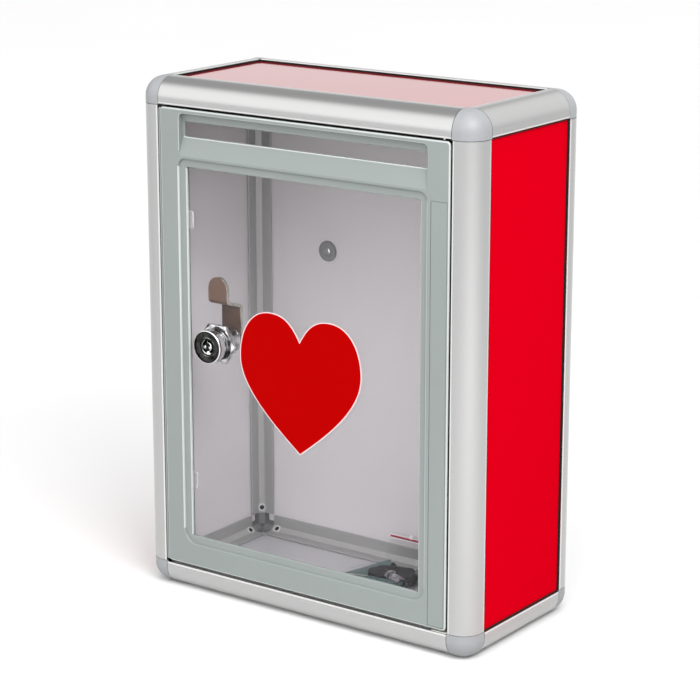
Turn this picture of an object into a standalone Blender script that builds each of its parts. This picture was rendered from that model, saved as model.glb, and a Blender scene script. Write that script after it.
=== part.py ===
"""Donation box: a wall or table box of aluminium extrusion and sheet, with a glazed, locking front door.

Lengths are in metres, +Z is up and the door faces -Y. The origin is the centre of the object's footprint.
Places are given from the carcass's front left bottom outer corner: x to the right, y to the back, z up.
"""

import math

import bmesh
import bpy
from mathutils import Matrix, Vector

MM = 0.001
CUT_PAST = 2 * MM  # how far a cutter runs past the face it opens

# Carcass
WIDTH = 227 * MM
DEPTH = 107.5 * MM
HEIGHT = 300 * MM
SIZE = Vector((WIDTH, DEPTH, HEIGHT))
GAP = 0.3 * MM  # between pieces that touch

# Extrusion, measured inwards from its two outer faces
RAIL_FACE = 15 * MM
RAIL_ROUND = 11.5 * MM
RAIL_WALL = 1.2 * MM
SLOT_DEPTH_LINE = 8.3 * MM  # how near to the outer face a slot reaches
INNER_FACE = 5.7 * MM
RAIL_END = RAIL_FACE + GAP
ARM_LENGTH = 18 * MM

# Sheets that stand in the slots
SHEET = 2.7 * MM
SHEET_RECESS = RAIL_WALL + GAP  # from the outer face
SHEET_EDGE = 10.5 * MM

# Door, in front of the carcass opening
DOOR_GAP = 1 * MM
DOOR_LEFT = RAIL_FACE + DOOR_GAP
DOOR_RIGHT = WIDTH - DOOR_LEFT
DOOR_BOTTOM = RAIL_FACE + DOOR_GAP
DOOR_TOP = HEIGHT - DOOR_BOTTOM
DOOR_FRONT = 0.3 * MM
DOOR_BACK = 7.8 * MM
DOOR_CORNER = 2.5 * MM
DOOR_WALL = 2 * MM
DOOR_SKIN = 2.4 * MM  # thickness of the front face where the moulding is hollow
BOSS_HALF = 8 * MM  # half the height of the solid stretch behind each clip
RIB = 2 * MM
BAYS = 3  # hollows between ribs, above and below the window

# Window and deposit slot in the door
WINDOW_LEFT, WINDOW_RIGHT = 34.3 * MM, 192 * MM
WINDOW_BOTTOM, WINDOW_TOP = 34.2 * MM, 251.3 * MM
WINDOW_SLOPE = 5 * MM  # width of the sloping band round the window
WINDOW_STEP = 0.35 * MM  # the band starts this far below the door's face
WINDOW_LIP_FRONT = 1.6 * MM
PANE_FRONT = 3.5 * MM
PANE = 2.7 * MM
PANE_BACK = PANE_FRONT + PANE
PANE_OVERLAP = 3.3 * MM
SLOT_LEFT, SLOT_RIGHT = 31 * MM, 195.5 * MM
SLOT_BOTTOM, SLOT_TOP = 268 * MM, 276.5 * MM
RAMP_BOTTOM = 257.5 * MM
RAMP_DEPTH = 2.8 * MM

# Cover strip let into the door's hinge side
STRIP_LEFT, STRIP_RIGHT, STRIP_TOP = 199.4 * MM, 209.4 * MM, 251.8 * MM
STRIP_FRONT = DOOR_FRONT + 0.1 * MM
STRIP_THICK = 0.4 * MM

# Hinge and lock
HINGE_X, HINGE_Y = 206 * MM, 2.85 * MM
PIN_RADIUS = 0.9 * MM
PIN_CLEARANCE = 0.1 * MM
PIN_IN_DOOR = 6.5 * MM
PIN_IN_BUSH = 5.5 * MM
PIN_HOLE_SPARE = 0.5 * MM
BUSH_HALF = 5 * MM
LOCK_X, LOCK_Z = 49 * MM, 150.3 * MM
LOCK_PROUD = 1.8 * MM  # the lock's head stands this far in front of the carcass
LOCK_BODY_RADIUS = 8 * MM
LOCK_LENGTH = 22 * MM  # face to rear end of the lock body
LOCK_FLANGE_RADIUS = 9.7 * MM
BARREL_FLAT = 6.9 * MM  # from the axis to each of the barrel's two flats
PLUG_RADIUS = 5.4 * MM
PLUG_CLEARANCE = 0.05 * MM
TAIL_FRONT = LOCK_LENGTH - LOCK_PROUD + GAP  # where the plug's square tail begins
TAIL_HALF = 2.8 * MM
NUT_FLATS = 22 * MM
NUT_THICK = 3.2 * MM
CAM_WIDTH = 14 * MM
CAM_REACH = 38.6 * MM
CAM_PLATE = 2 * MM
CAM_HEEL = 8 * MM
CAM_FRONT = TAIL_FRONT + GAP
CAM_TIP_FRONT = 8.7 * MM
CRANK_START, CRANK_END = 21 * MM, 25 * MM  # above the lock's axis, on the cam's rear face
CRANK_SHIFT = 1.45 * MM  # how much lower the crank's front corners lie, to keep its thickness
CAM_SCREW_RADIUS = 1.9 * MM
CAM_SCREW_HEAD = 4.2 * MM

# Heart on the window
HEART_X = 111.3 * MM
HEART_TIP = 97.5 * MM
HEART_HALF = 41.5 * MM
HEART_HEIGHT = 77.8 * MM
VINYL = 0.3 * MM

# Wall grommets and their holes in the back panel
GROMMET_Z = 188 * MM
GROMMET_X = (56.7 * MM, WIDTH - 56.7 * MM)
GROMMET_FLANGE, GROMMET_BARREL, GROMMET_BORE = 6.3 * MM, 4.05 * MM, 2.1 * MM
GROMMET_PROUD = 1.5 * MM
PANEL_HOLE_RADIUS = 4.4 * MM

# Clips that hold the pane in the door, and their screws
CLIP_Z = (66 * MM, 220 * MM)
CLIP_FRONT = PANE_BACK + GAP
CLIP_THICK = 1.2 * MM
CLIP_OUT = 13 * MM  # from the window's edge out to the clip's outer end
CLIP_IN = -0.5 * MM
CLIP_TALL = 10 * MM
SCREW_OUT = 9.5 * MM
SCREW_RADIUS, SCREW_HEAD_RADIUS, SCREW_HEAD = 1.25 * MM, 2.5 * MM, 1.6 * MM
SCREW_TIP = 3.2 * MM  # from the carcass's front
SCREW_CLEARANCE = 0.1 * MM

# Stops for the closed door
STOP_Z = (62 * MM, 238 * MM)
STOP_TALL = 12 * MM
STOP_THICK = 1.8 * MM
STOP_TAB = 3.5 * MM  # how far the tab reaches behind the door

# Bag of keys and screws
BAG_LEFT, BAG_RIGHT = 92 * MM, 164 * MM

# Turns a shape drawn in its own XY plane to stand in the object's XZ or YZ plane.
UPRIGHT_FRONT = Matrix.Rotation(math.pi / 2, 4, "X")
UPRIGHT_SIDE = Matrix.Rotation(math.pi / 2, 4, "Z") @ UPRIGHT_FRONT
FLAT = Matrix.Identity(4)


# ---------------------------------------------------------------- scene and materials


def clear_scene():
    for thing in list(bpy.data.objects):
        bpy.data.objects.remove(thing, do_unlink=True)


def collection(name):
    made = bpy.data.collections.new(name)
    bpy.context.scene.collection.children.link(made)
    return made


def material(name, colour, roughness, metallic=0.0, alpha=1.0):
    made = bpy.data.materials.new(name)
    made.use_nodes = True
    shader = made.node_tree.nodes["Principled BSDF"]
    shader.inputs["Base Color"].default_value = (*colour, 1)
    shader.inputs["Roughness"].default_value = roughness
    shader.inputs["Metallic"].default_value = metallic
    shader.inputs["Alpha"].default_value = alpha
    made.diffuse_color = (*colour, alpha)
    return made


clear_scene()
PARTS = collection("donation_box")
CUTTERS = collection("cutters")

ALUMINIUM = material("anodised_aluminium", (0.74, 0.75, 0.74), 0.32, metallic=1)
CORNER_PLASTIC = material("corner_plastic", (0.51, 0.54, 0.58), 0.4)
RED_SHEET = material("red_sheet", (0.78, 0.0, 0.006), 0.22)
PALE_SHEET = material("pale_sheet", (0.62, 0.61, 0.62), 0.4)
DOOR_PLASTIC = material("door_plastic", (0.39, 0.43, 0.41), 0.45)
ACRYLIC = material("clear_acrylic", (0.95, 0.96, 0.96), 0.05, alpha=0.2)
RED_VINYL = material("red_vinyl", (0.58, 0.0, 0.0), 0.35)
CHROME = material("chrome", (0.75, 0.75, 0.76), 0.08, metallic=1)
BLACK_ENAMEL = material("black_enamel", (0.02, 0.02, 0.02), 0.3)
ZINC_STEEL = material("zinc_steel", (0.55, 0.53, 0.48), 0.3, metallic=1)
NYLON = material("nylon", (0.6, 0.6, 0.57), 0.5)
POLYTHENE = material("clear_polythene", (0.85, 0.87, 0.88), 0.3, alpha=0.4)


# ---------------------------------------------------------------- anchors

ANCHOR_PLACES = {}


def anchor(name, place, parent=None):
    """An empty that pieces hang from: the carcass's corner, or a joint's axis."""
    made = bpy.data.objects.new(name, None)
    made.empty_display_size = 10 * MM
    PARTS.objects.link(made)
    ANCHOR_PLACES[name] = Vector(place)
    made.parent = parent
    if parent is None:
        made.location = (-WIDTH / 2, (LOCK_PROUD - DEPTH) / 2, 0)
    else:
        made.location = ANCHOR_PLACES[name] - ANCHOR_PLACES[parent.name]
    return made


CARCASS = anchor("carcass", (0, 0, 0))
DOOR_AXIS = anchor("door_axis", (HINGE_X, HINGE_Y, 0), CARCASS)
LOCK_AXIS = anchor("lock_axis", (LOCK_X, 0, LOCK_Z), DOOR_AXIS)


def place(thing, parent, where, turn=FLAT):
    """Hangs thing from an anchor, at a place given from the carcass's corner."""
    thing.parent = parent
    where = Vector(where) - ANCHOR_PLACES[parent.name]
    thing.matrix_basis = Matrix.Translation(where) @ turn
    return thing


# ---------------------------------------------------------------- shapes


def finish_mesh(shape, mesh):
    bmesh.ops.recalc_face_normals(shape, faces=shape.faces)
    shape.to_mesh(mesh)
    shape.free()
    mesh.shade_smooth()
    mesh.set_sharp_from_angle(angle=math.radians(35))


def new_object(name, mesh, look):
    made = bpy.data.objects.new(name, mesh)
    PARTS.objects.link(made)
    if look is not None:
        mesh.materials.clear()
        mesh.materials.append(look)
    return made


def block(name, low, high, parent, look=None):
    """A box between two corners."""
    low, high = Vector(low), Vector(high)
    mesh = bpy.data.meshes.new(name)
    shape = bmesh.new()
    bmesh.ops.create_cube(shape, size=1)
    bmesh.ops.scale(shape, vec=high - low, verts=shape.verts)
    finish_mesh(shape, mesh)
    return place(new_object(name, mesh, look), parent, (low + high) / 2)


def rod(name, radius, start, end, parent, look=None, turn=FLAT, sides=24):
    """A cylinder between two points on one axis; turn lays its own Z along that axis."""
    start, end = Vector(start), Vector(end)
    mesh = bpy.data.meshes.new(name)
    shape = bmesh.new()
    bmesh.ops.create_cone(
        shape,
        cap_ends=True,
        segments=sides,
        radius1=radius,
        radius2=radius,
        depth=(end - start).length,
    )
    finish_mesh(shape, mesh)
    return place(new_object(name, mesh, look), parent, (start + end) / 2, turn)


def turned(name, profile, place_at, parent, look, steps=32):
    """A turned piece whose profile is (radius, distance forward), about an axis that faces the front."""
    mesh = bpy.data.meshes.new(name)
    points = [(radius, 0, forward) for radius, forward in profile]
    edges = [(i, (i + 1) % len(points)) for i in range(len(points))]
    mesh.from_pydata(points, edges, [])
    made = new_object(name, mesh, look)
    spin = made.modifiers.new("spin", "SCREW")
    spin.steps = steps
    spin.render_steps = steps
    spin.use_merge_vertices = True
    spin.merge_threshold = 0.001 * MM
    spin.use_smooth_shade = False
    return place(made, parent, place_at, UPRIGHT_FRONT)


def sheet_mesh(name, outlines, thickness):
    """A flat outline, with holes where outlines lie inside the first, made thick."""
    curve = bpy.data.curves.new(name, "CURVE")
    curve.dimensions = "2D"
    curve.fill_mode = "BOTH"
    curve.extrude = thickness / 2
    for outline in outlines:
        spline = curve.splines.new("POLY")
        spline.points.add(len(outline) - 1)
        for point, (x, y) in zip(spline.points, outline):
            point.co = (x, y, 0, 1)
        spline.use_cyclic_u = True
    guide = bpy.data.objects.new(name, curve)
    PARTS.objects.link(guide)
    graph = bpy.context.evaluated_depsgraph_get()
    mesh = bpy.data.meshes.new_from_object(guide.evaluated_get(graph))
    bpy.data.objects.remove(guide, do_unlink=True)
    bpy.data.curves.remove(curve)
    shape = bmesh.new()
    shape.from_mesh(mesh)
    bmesh.ops.remove_doubles(shape, verts=shape.verts, dist=0.001 * MM)
    finish_mesh(shape, mesh)
    mesh.name = name
    return mesh


def profile_piece(name, outlines, thickness, where, parent, look=None, turn=UPRIGHT_FRONT):
    mesh = sheet_mesh(name, outlines, thickness)
    return place(new_object(name, mesh, look), parent, where, turn)


def make_cutter(thing):
    PARTS.objects.unlink(thing)
    CUTTERS.objects.link(thing)
    thing.hide_render = True
    thing.display_type = "WIRE"
    return thing


def combine(piece, other, operation="DIFFERENCE"):
    """Cuts piece with other, joins them, or keeps what they share."""
    make_cutter(other)
    step = piece.modifiers.new(other.name, "BOOLEAN")
    step.operation = operation
    step.solver = "EXACT"
    step.object = other


# ---------------------------------------------------------------- outlines


def arc(centre, radius, start, end, steps):
    """Points along an arc, from one angle to another, in degrees."""
    angles = [math.radians(start + (end - start) * i / steps) for i in range(steps + 1)]
    return [(centre[0] + radius * math.cos(a), centre[1] + radius * math.sin(a)) for a in angles]


def circle(x, y, radius, steps=24):
    return arc((x, y), radius, 0, 360, steps)[:-1]


def rectangle(x0, y0, x1, y1, corner=0.0, steps=3):
    if not corner:
        return [(x0, y0), (x1, y0), (x1, y1), (x0, y1)]
    centres = (
        (x1 - corner, y0 + corner, -90),
        (x1 - corner, y1 - corner, 0),
        (x0 + corner, y1 - corner, 90),
        (x0 + corner, y0 + corner, 180),
    )
    return [p for x, y, a in centres for p in arc((x, y), corner, a, a + 90, steps)]


def bezier(a, b, c, d, steps):
    """Points of a cubic curve from a to d, leaving out d."""
    points = []
    for i in range(steps):
        t = i / steps
        s = 1 - t
        weights = (s**3, 3 * s * s * t, 3 * s * t * t, t**3)
        points.append(
            tuple(sum(w * p[k] for w, p in zip(weights, (a, b, c, d))) for k in (0, 1))
        )
    return points


def heart(half, height):
    """A heart with its tip at (0, 0), drawn from the tip round the right lobe, then mirrored."""
    tip = (0, 0)
    widest = (half, 0.65 * height)
    top = (0.49 * half, height)
    dip = (0, 0.815 * height)
    right = bezier(tip, (0.42 * half, 0.17 * height), (half, 0.41 * height), widest, 10)
    right += bezier(widest, (half, 0.83 * height), (0.83 * half, height), top, 7)
    right += bezier(top, (0.24 * half, height), (0.12 * half, 0.93 * height), dip, 6)
    left = [(-x, z) for x, z in reversed(right[1:])]
    return right + [dip] + left


# ---------------------------------------------------------------- carcass


def rail_outline():
    """The extrusion's outside: rounded over its outer faces, a slot along each edge, and a web across."""
    face, lip, slot_end, inner = RAIL_FACE, RAIL_WALL, SLOT_DEPTH_LINE, INNER_FACE
    inner_lip = inner - RAIL_WALL
    outside = arc((RAIL_ROUND, RAIL_ROUND), RAIL_ROUND, 270, 180, 8)
    edge = [
        (face, lip),
        (slot_end, lip),
        (slot_end, inner_lip),
        (face, inner_lip),
        (face, inner),
        (slot_end, inner),
    ]
    return (
        [(face, 0)] + outside + [(0, face)] + [(y, x) for x, y in edge] + list(reversed(edge))
    )


def channel_outline(inset):
    """The closed channel along the extrusion's corner, drawn smaller all round by inset."""
    radius = RAIL_ROUND - RAIL_WALL - inset
    side = SLOT_DEPTH_LINE - RAIL_WALL - inset
    web = SLOT_DEPTH_LINE + INNER_FACE - (RAIL_WALL + inset) * math.sqrt(2)
    reach = math.degrees(math.acos((RAIL_ROUND - side) / radius))
    outside = arc((RAIL_ROUND, RAIL_ROUND), radius, 180 + reach, 270 - reach, 5)
    return outside + [(web - side, side), (side, web - side)]


def turn_to(axis, side_a, side_b):
    """Stands a profile along one axis, its own X and Y pointing inwards along the next two."""
    turn = Matrix.Diagonal((0, 0, 0))
    a, b = (axis + 1) % 3, (axis + 2) % 3
    turn[a][0] = side_a
    turn[b][1] = side_b
    turn[axis][2] = side_a * side_b
    return turn.to_4x4()


def corner_place(sides):
    """The outer corner on the given sides: 1 is left, front or bottom, and -1 right, rear or top."""
    return Vector([0 if side > 0 else size for side, size in zip(sides, SIZE)])


def make_rail(name, axis, side_a, side_b):
    length = SIZE[axis] - 2 * RAIL_END
    mesh = sheet_mesh(name, [rail_outline(), channel_outline(0)], length)
    sides = [0, 0, 0]
    sides[(axis + 1) % 3] = side_a
    sides[(axis + 2) % 3] = side_b
    where = corner_place([side or 1 for side in sides])
    where[axis] = SIZE[axis] / 2
    place(new_object(name, mesh, ALUMINIUM), CARCASS, where, turn_to(axis, side_a, side_b))


def make_rails():
    sides = {"left": 1, "right": -1, "front": 1, "rear": -1, "bottom": 1, "top": -1}
    for depth in ("front", "rear"):
        for side in ("left", "right"):
            make_rail(f"{depth}_{side}_post", 2, sides[side], sides[depth])
    for level in ("bottom", "top"):
        for depth in ("front", "rear"):
            make_rail(f"{level}_{depth}_rail", 0, sides[depth], sides[level])
        for side in ("left", "right"):
            make_rail(f"{level}_{side}_rail", 1, sides[level], sides[side])


def connector_mesh():
    """A three-way corner, drawn at the front left bottom: a rounded cap, a hub, an arm into each rail."""
    cap_mesh = bpy.data.meshes.new("corner_connector")
    shape = bmesh.new()
    bmesh.ops.create_cube(shape, size=2 * RAIL_FACE)
    bmesh.ops.translate(shape, vec=(RAIL_FACE,) * 3, verts=shape.verts)
    bmesh.ops.bevel(
        shape,
        geom=shape.edges,
        offset=RAIL_ROUND,
        segments=6,
        profile=0.5,
        affect="EDGES",
    )
    finish_mesh(shape, cap_mesh)
    cap = place(new_object("corner_connector", cap_mesh, CORNER_PLASTIC), CARCASS, (0, 0, 0))
    far = 2 * RAIL_FACE + CUT_PAST
    bar = SLOT_DEPTH_LINE - GAP  # half-width of the hub's three bars
    keep = block("corner_keep", (-far,) * 3, (RAIL_FACE,) * 3, CARCASS)
    combine(cap, keep, "INTERSECT")
    chamfer = SLOT_DEPTH_LINE + INNER_FACE - GAP * math.sqrt(2)
    reach = bar + CUT_PAST / 4
    wedge = [(reach, chamfer - reach), (reach, reach), (chamfer - reach, reach)]
    for axis in range(3):
        low = [bar] * 3
        low[axis] = RAIL_WALL
        window = block(f"corner_window_{axis}", low, (far,) * 3, CARCASS)
        combine(cap, window)
        across = turn_to(axis, 1, 1)
        middle = Vector((0, 0, 0))
        middle[axis] = (bar + far) / 2
        trim = profile_piece(
            f"corner_chamfer_{axis}", [wedge], far - bar, middle, CARCASS, turn=across
        )
        combine(cap, trim)
    root = 5 * MM  # how deep an arm starts inside the cap
    for axis in range(3):
        middle = Vector((0, 0, 0))
        middle[axis] = RAIL_FACE + (ARM_LENGTH - root) / 2
        arm = profile_piece(
            f"corner_arm_{axis}",
            [channel_outline(GAP)],
            ARM_LENGTH + root,
            middle,
            CARCASS,
            turn=turn_to(axis, 1, 1),
        )
        combine(cap, arm, "UNION")
    bpy.context.view_layer.update()
    graph = bpy.context.evaluated_depsgraph_get()
    mesh = bpy.data.meshes.new_from_object(cap.evaluated_get(graph))
    for step in cap.modifiers:
        bpy.data.objects.remove(step.object, do_unlink=True)
    bpy.data.objects.remove(cap, do_unlink=True)
    return mesh


def make_connectors():
    mesh = connector_mesh()
    for level, up in (("bottom", 1), ("top", -1)):
        for depth, back in (("front", 1), ("rear", -1)):
            for side, across in (("left", 1), ("right", -1)):
                sides = (across, back, up)
                turn = Matrix.Diagonal((*sides, 1))
                if across * back * up < 0:
                    # The connector looks the same with two arms swapped, so a swap replaces a reflection.
                    swap = Matrix(((0, 1, 0, 0), (1, 0, 0, 0), (0, 0, 1, 0), (0, 0, 0, 1)))
                    turn = turn @ swap
                made = bpy.data.objects.new(f"corner_{level}_{depth}_{side}", mesh)
                PARTS.objects.link(made)
                place(made, CARCASS, corner_place(sides), turn)


def make_panels():
    """Five sheets whose edges stand in the rails' slots. Each lies just inside its outer face."""
    outer, inner = SHEET_RECESS, SHEET_RECESS + SHEET
    edge = SHEET_EDGE
    spans = {
        "left_panel": (0, outer, inner, RED_SHEET),
        "right_panel": (0, WIDTH - inner, WIDTH - outer, RED_SHEET),
        "top_panel": (2, HEIGHT - inner, HEIGHT - outer, RED_SHEET),
        "bottom_panel": (2, outer, inner, PALE_SHEET),
        "back_panel": (1, DEPTH - inner, DEPTH - outer, PALE_SHEET),
    }
    for name, (axis, near, far, look) in spans.items():
        low = Vector((edge, edge, edge))
        high = SIZE - low
        low[axis] = near
        high[axis] = far
        panel = block(name, low, high, CARCASS, look)
        if name == "back_panel":
            for i, x in enumerate(GROMMET_X):
                hole = rod(
                    f"back_panel_hole_{i}",
                    PANEL_HOLE_RADIUS,
                    (x, near - CUT_PAST, GROMMET_Z),
                    (x, far + CUT_PAST, GROMMET_Z),
                    CARCASS,
                    turn=UPRIGHT_FRONT,
                )
                combine(panel, hole)


def make_grommets():
    """Flanged bushes in the back panel's two holes, where screws into a wall pass."""
    back = -(SHEET + GAP)
    chamfer = 0.6 * MM
    profile = [
        (GROMMET_BORE, GROMMET_PROUD),
        (GROMMET_FLANGE - chamfer, GROMMET_PROUD),
        (GROMMET_FLANGE, GROMMET_PROUD - chamfer),
        (GROMMET_FLANGE, 0),
        (GROMMET_BARREL, 0),
        (GROMMET_BARREL, back),
        (GROMMET_BORE, back),
    ]
    inside = DEPTH - SHEET_RECESS - SHEET - GAP
    for side, x in zip(("left", "right"), GROMMET_X):
        turned(
            f"wall_grommet_{side}", profile, (x, inside, GROMMET_Z), CARCASS, CORNER_PLASTIC, 20
        )


def make_hinge_bushes():
    """Nylon blocks in the front rails' slots, each with a hole for a hinge pin."""
    slot_near, slot_far = SHEET_RECESS, INNER_FACE - RAIL_WALL - GAP
    for level, near, far in (
        ("lower", RAIL_FACE - GAP, SLOT_DEPTH_LINE + GAP),
        ("upper", HEIGHT - RAIL_FACE + GAP, HEIGHT - SLOT_DEPTH_LINE - GAP),
    ):
        low, high = sorted((near, far))
        bush = block(
            f"hinge_bush_{level}",
            (HINGE_X - BUSH_HALF, slot_near, low),
            (HINGE_X + BUSH_HALF, slot_far, high),
            CARCASS,
            NYLON,
        )
        inwards = math.copysign(1, far - near)
        hole_end = near + inwards * (PIN_IN_BUSH - DOOR_GAP + GAP + PIN_HOLE_SPARE)
        mouth = near - inwards * CUT_PAST
        hole = rod(
            f"hinge_bush_hole_{level}",
            PIN_RADIUS + PIN_CLEARANCE,
            (HINGE_X, HINGE_Y, min(mouth, hole_end)),
            (HINGE_X, HINGE_Y, max(mouth, hole_end)),
            CARCASS,
            sides=16,
        )
        combine(bush, hole)


def make_door_stops():
    """Nylon angles on the lock-side post's inner lip. The closed door rests on their tabs."""
    lip_back = INNER_FACE + GAP
    tab_front = DOOR_BACK + GAP
    tab_back = tab_front + STOP_THICK
    root = SLOT_DEPTH_LINE + 1 * MM
    lip_end = RAIL_FACE - GAP
    tab_end = DOOR_LEFT + STOP_TAB
    outline = [
        (root, lip_back),
        (lip_end, lip_back),
        (lip_end, tab_front),
        (tab_end, tab_front),
        (tab_end, tab_back),
        (root, tab_back),
    ]
    for level, z in zip(("lower", "upper"), STOP_Z):
        profile_piece(
            f"door_stop_{level}", [outline], STOP_TALL, (0, 0, z), CARCASS, NYLON, turn=FLAT
        )


def make_fixings_bag():
    """A slack bag of keys and screws, lying on the bottom panel with its closed end up against the back."""
    outline = [
        (52, 4.7),
        (91.5, 4.7),
        (92.2, 6.2),
        (98.5, 6.2),
        (101.2, 9.2),
        (101.2, 24),
        (99.8, 24),
        (97, 14),
        (88, 13),
        (60, 10),
        (52, 6.5),
    ]
    profile_piece(
        "fixings_bag",
        [[(y * MM, z * MM) for y, z in outline]],
        BAG_RIGHT - BAG_LEFT,
        ((BAG_LEFT + BAG_RIGHT) / 2, 0, 0),
        CARCASS,
        POLYTHENE,
        turn=UPRIGHT_SIDE,
    )


# ---------------------------------------------------------------- door


def door_cut(frame, name, low, high):
    combine(frame, block(name, low, high, DOOR_AXIS))


def make_window_funnel():
    """The cutter for the window's sloping band: a box whose back face is the window's opening."""
    front = DOOR_FRONT + WINDOW_STEP - 0.05 * MM
    middle = Vector(
        (
            (WINDOW_LEFT + WINDOW_RIGHT) / 2,
            (front + WINDOW_LIP_FRONT) / 2,
            (WINDOW_BOTTOM + WINDOW_TOP) / 2,
        )
    )
    across = WINDOW_RIGHT - WINDOW_LEFT
    tall = WINDOW_TOP - WINDOW_BOTTOM
    mesh = bpy.data.meshes.new("window_funnel")
    shape = bmesh.new()
    bmesh.ops.create_cube(shape, size=1)
    for vertex in shape.verts:
        spread = 2 * WINDOW_SLOPE if vertex.co.y < 0 else 0
        vertex.co.x *= across + spread
        vertex.co.z *= tall + spread
        vertex.co.y *= WINDOW_LIP_FRONT - front
    finish_mesh(shape, mesh)
    return place(new_object("window_funnel", mesh, None), DOOR_AXIS, middle)


def make_slot_cutter():
    """The deposit slot with its ramp below and the short slope above, as a section cut along the door."""
    before = DOOR_FRONT - CUT_PAST
    behind = DOOR_BACK + CUT_PAST
    top_step = 0.4 * MM
    section = [
        (before, RAMP_BOTTOM),
        (DOOR_FRONT, RAMP_BOTTOM),
        (RAMP_DEPTH, SLOT_BOTTOM),
        (behind, SLOT_BOTTOM),
        (behind, SLOT_TOP),
        (RAMP_DEPTH, SLOT_TOP),
        (DOOR_FRONT + top_step, SLOT_TOP + WINDOW_SLOPE),
        (before, SLOT_TOP + WINDOW_SLOPE),
    ]
    middle = ((SLOT_LEFT + SLOT_RIGHT) / 2, 0, 0)
    return profile_piece(
        "deposit_slot", [section], SLOT_RIGHT - SLOT_LEFT, middle, DOOR_AXIS, turn=UPRIGHT_SIDE
    )


def cut_hollows(frame):
    """The moulding is hollow from behind, with solid bosses left at the clips."""
    skin = DOOR_FRONT + DOOR_SKIN
    ramp_skin = RAMP_DEPTH + DOOR_WALL
    behind = DOOR_BACK + CUT_PAST
    pocket = PANE_OVERLAP + GAP + DOOR_WALL
    hinge_boss = 10 * MM
    low_x = DOOR_LEFT + DOOR_WALL
    high_x = DOOR_RIGHT - DOOR_WALL
    low_z = DOOR_BOTTOM + DOOR_WALL
    spans = [
        (low_z, CLIP_Z[0] - BOSS_HALF),
        (CLIP_Z[0] + BOSS_HALF, CLIP_Z[1] - BOSS_HALF),
        (CLIP_Z[1] + BOSS_HALF, WINDOW_TOP + PANE_OVERLAP),
    ]
    for i, (z0, z1) in enumerate(spans):
        door_cut(
            frame,
            f"hollow_left_{i}",
            (low_x, skin, z0),
            (WINDOW_LEFT - pocket, behind, z1),
        )
        # The lower end of the hinge side stays solid round the hinge pin.
        hinge_z0 = z0 + hinge_boss if i == 0 else z0
        door_cut(
            frame,
            f"hollow_right_{i}",
            (WINDOW_RIGHT + pocket, skin, hinge_z0),
            (high_x, behind, z1),
        )
    bay = (WINDOW_RIGHT - WINDOW_LEFT - RIB * (BAYS - 1)) / BAYS
    for i in range(BAYS):
        x0 = WINDOW_LEFT + i * (bay + RIB)
        door_cut(
            frame,
            f"hollow_bottom_{i}",
            (x0, skin, low_z),
            (x0 + bay, behind, WINDOW_BOTTOM - pocket),
        )
        door_cut(
            frame,
            f"hollow_top_{i}",
            (x0, ramp_skin, WINDOW_TOP + pocket),
            (x0 + bay, behind, SLOT_BOTTOM - DOOR_WALL),
        )


def clip_places():
    for side, edge, inward in (("left", WINDOW_LEFT, 1), ("right", WINDOW_RIGHT, -1)):
        for level, z in zip(("lower", "upper"), CLIP_Z):
            yield f"{side}_{level}", edge, inward, z


def make_door_frame():
    """The door's one moulding: stiles and rails round the window, with the deposit slot above."""
    thickness = DOOR_BACK - DOOR_FRONT
    outline = rectangle(DOOR_LEFT, DOOR_BOTTOM, DOOR_RIGHT, DOOR_TOP, DOOR_CORNER)
    middle = (0, (DOOR_FRONT + DOOR_BACK) / 2, 0)
    frame = profile_piece("door_frame", [outline], thickness, middle, DOOR_AXIS, DOOR_PLASTIC)
    far_front = DOOR_FRONT - CUT_PAST
    far_back = DOOR_BACK + CUT_PAST
    door_cut(
        frame,
        "window_opening",
        (WINDOW_LEFT, far_front, WINDOW_BOTTOM),
        (WINDOW_RIGHT, far_back, WINDOW_TOP),
    )
    door_cut(
        frame,
        "window_step",
        (WINDOW_LEFT - WINDOW_SLOPE, far_front, WINDOW_BOTTOM - WINDOW_SLOPE),
        (WINDOW_RIGHT + WINDOW_SLOPE, DOOR_FRONT + WINDOW_STEP, WINDOW_TOP + WINDOW_SLOPE),
    )
    combine(frame, make_window_funnel())
    rim = PANE_OVERLAP + GAP
    door_cut(
        frame,
        "pane_pocket",
        (WINDOW_LEFT - rim, PANE_FRONT - GAP, WINDOW_BOTTOM - rim),
        (WINDOW_RIGHT + rim, far_back, WINDOW_TOP + rim),
    )
    combine(frame, make_slot_cutter())
    cut_hollows(frame)
    strip_low, strip_high = strip_corners(GAP)
    door_cut(frame, "strip_recess", strip_low, strip_high)
    pin_hole = PIN_IN_DOOR + PIN_HOLE_SPARE
    for level, z0, z1 in (
        ("lower", DOOR_BOTTOM - CUT_PAST, DOOR_BOTTOM + pin_hole),
        ("upper", DOOR_TOP - pin_hole, DOOR_TOP + CUT_PAST),
    ):
        hole = rod(
            f"pin_hole_{level}",
            PIN_RADIUS + PIN_CLEARANCE,
            (HINGE_X, HINGE_Y, z0),
            (HINGE_X, HINGE_Y, z1),
            DOOR_AXIS,
            sides=16,
        )
        combine(frame, hole)
    for name, edge, inward, z in clip_places():
        outer = edge - inward * (CLIP_OUT + GAP)
        inner = edge + inward * CLIP_IN
        door_cut(
            frame,
            f"clip_seat_{name}",
            (min(outer, inner), PANE_BACK, z - CLIP_TALL / 2 - GAP),
            (max(outer, inner), far_back, z + CLIP_TALL / 2 + GAP),
        )
        x = edge - inward * SCREW_OUT
        hole = rod(
            f"clip_screw_hole_{name}",
            SCREW_RADIUS + SCREW_CLEARANCE,
            (x, SCREW_TIP - GAP, z),
            (x, far_back, z),
            DOOR_AXIS,
            turn=UPRIGHT_FRONT,
            sides=16,
        )
        combine(frame, hole)


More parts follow.
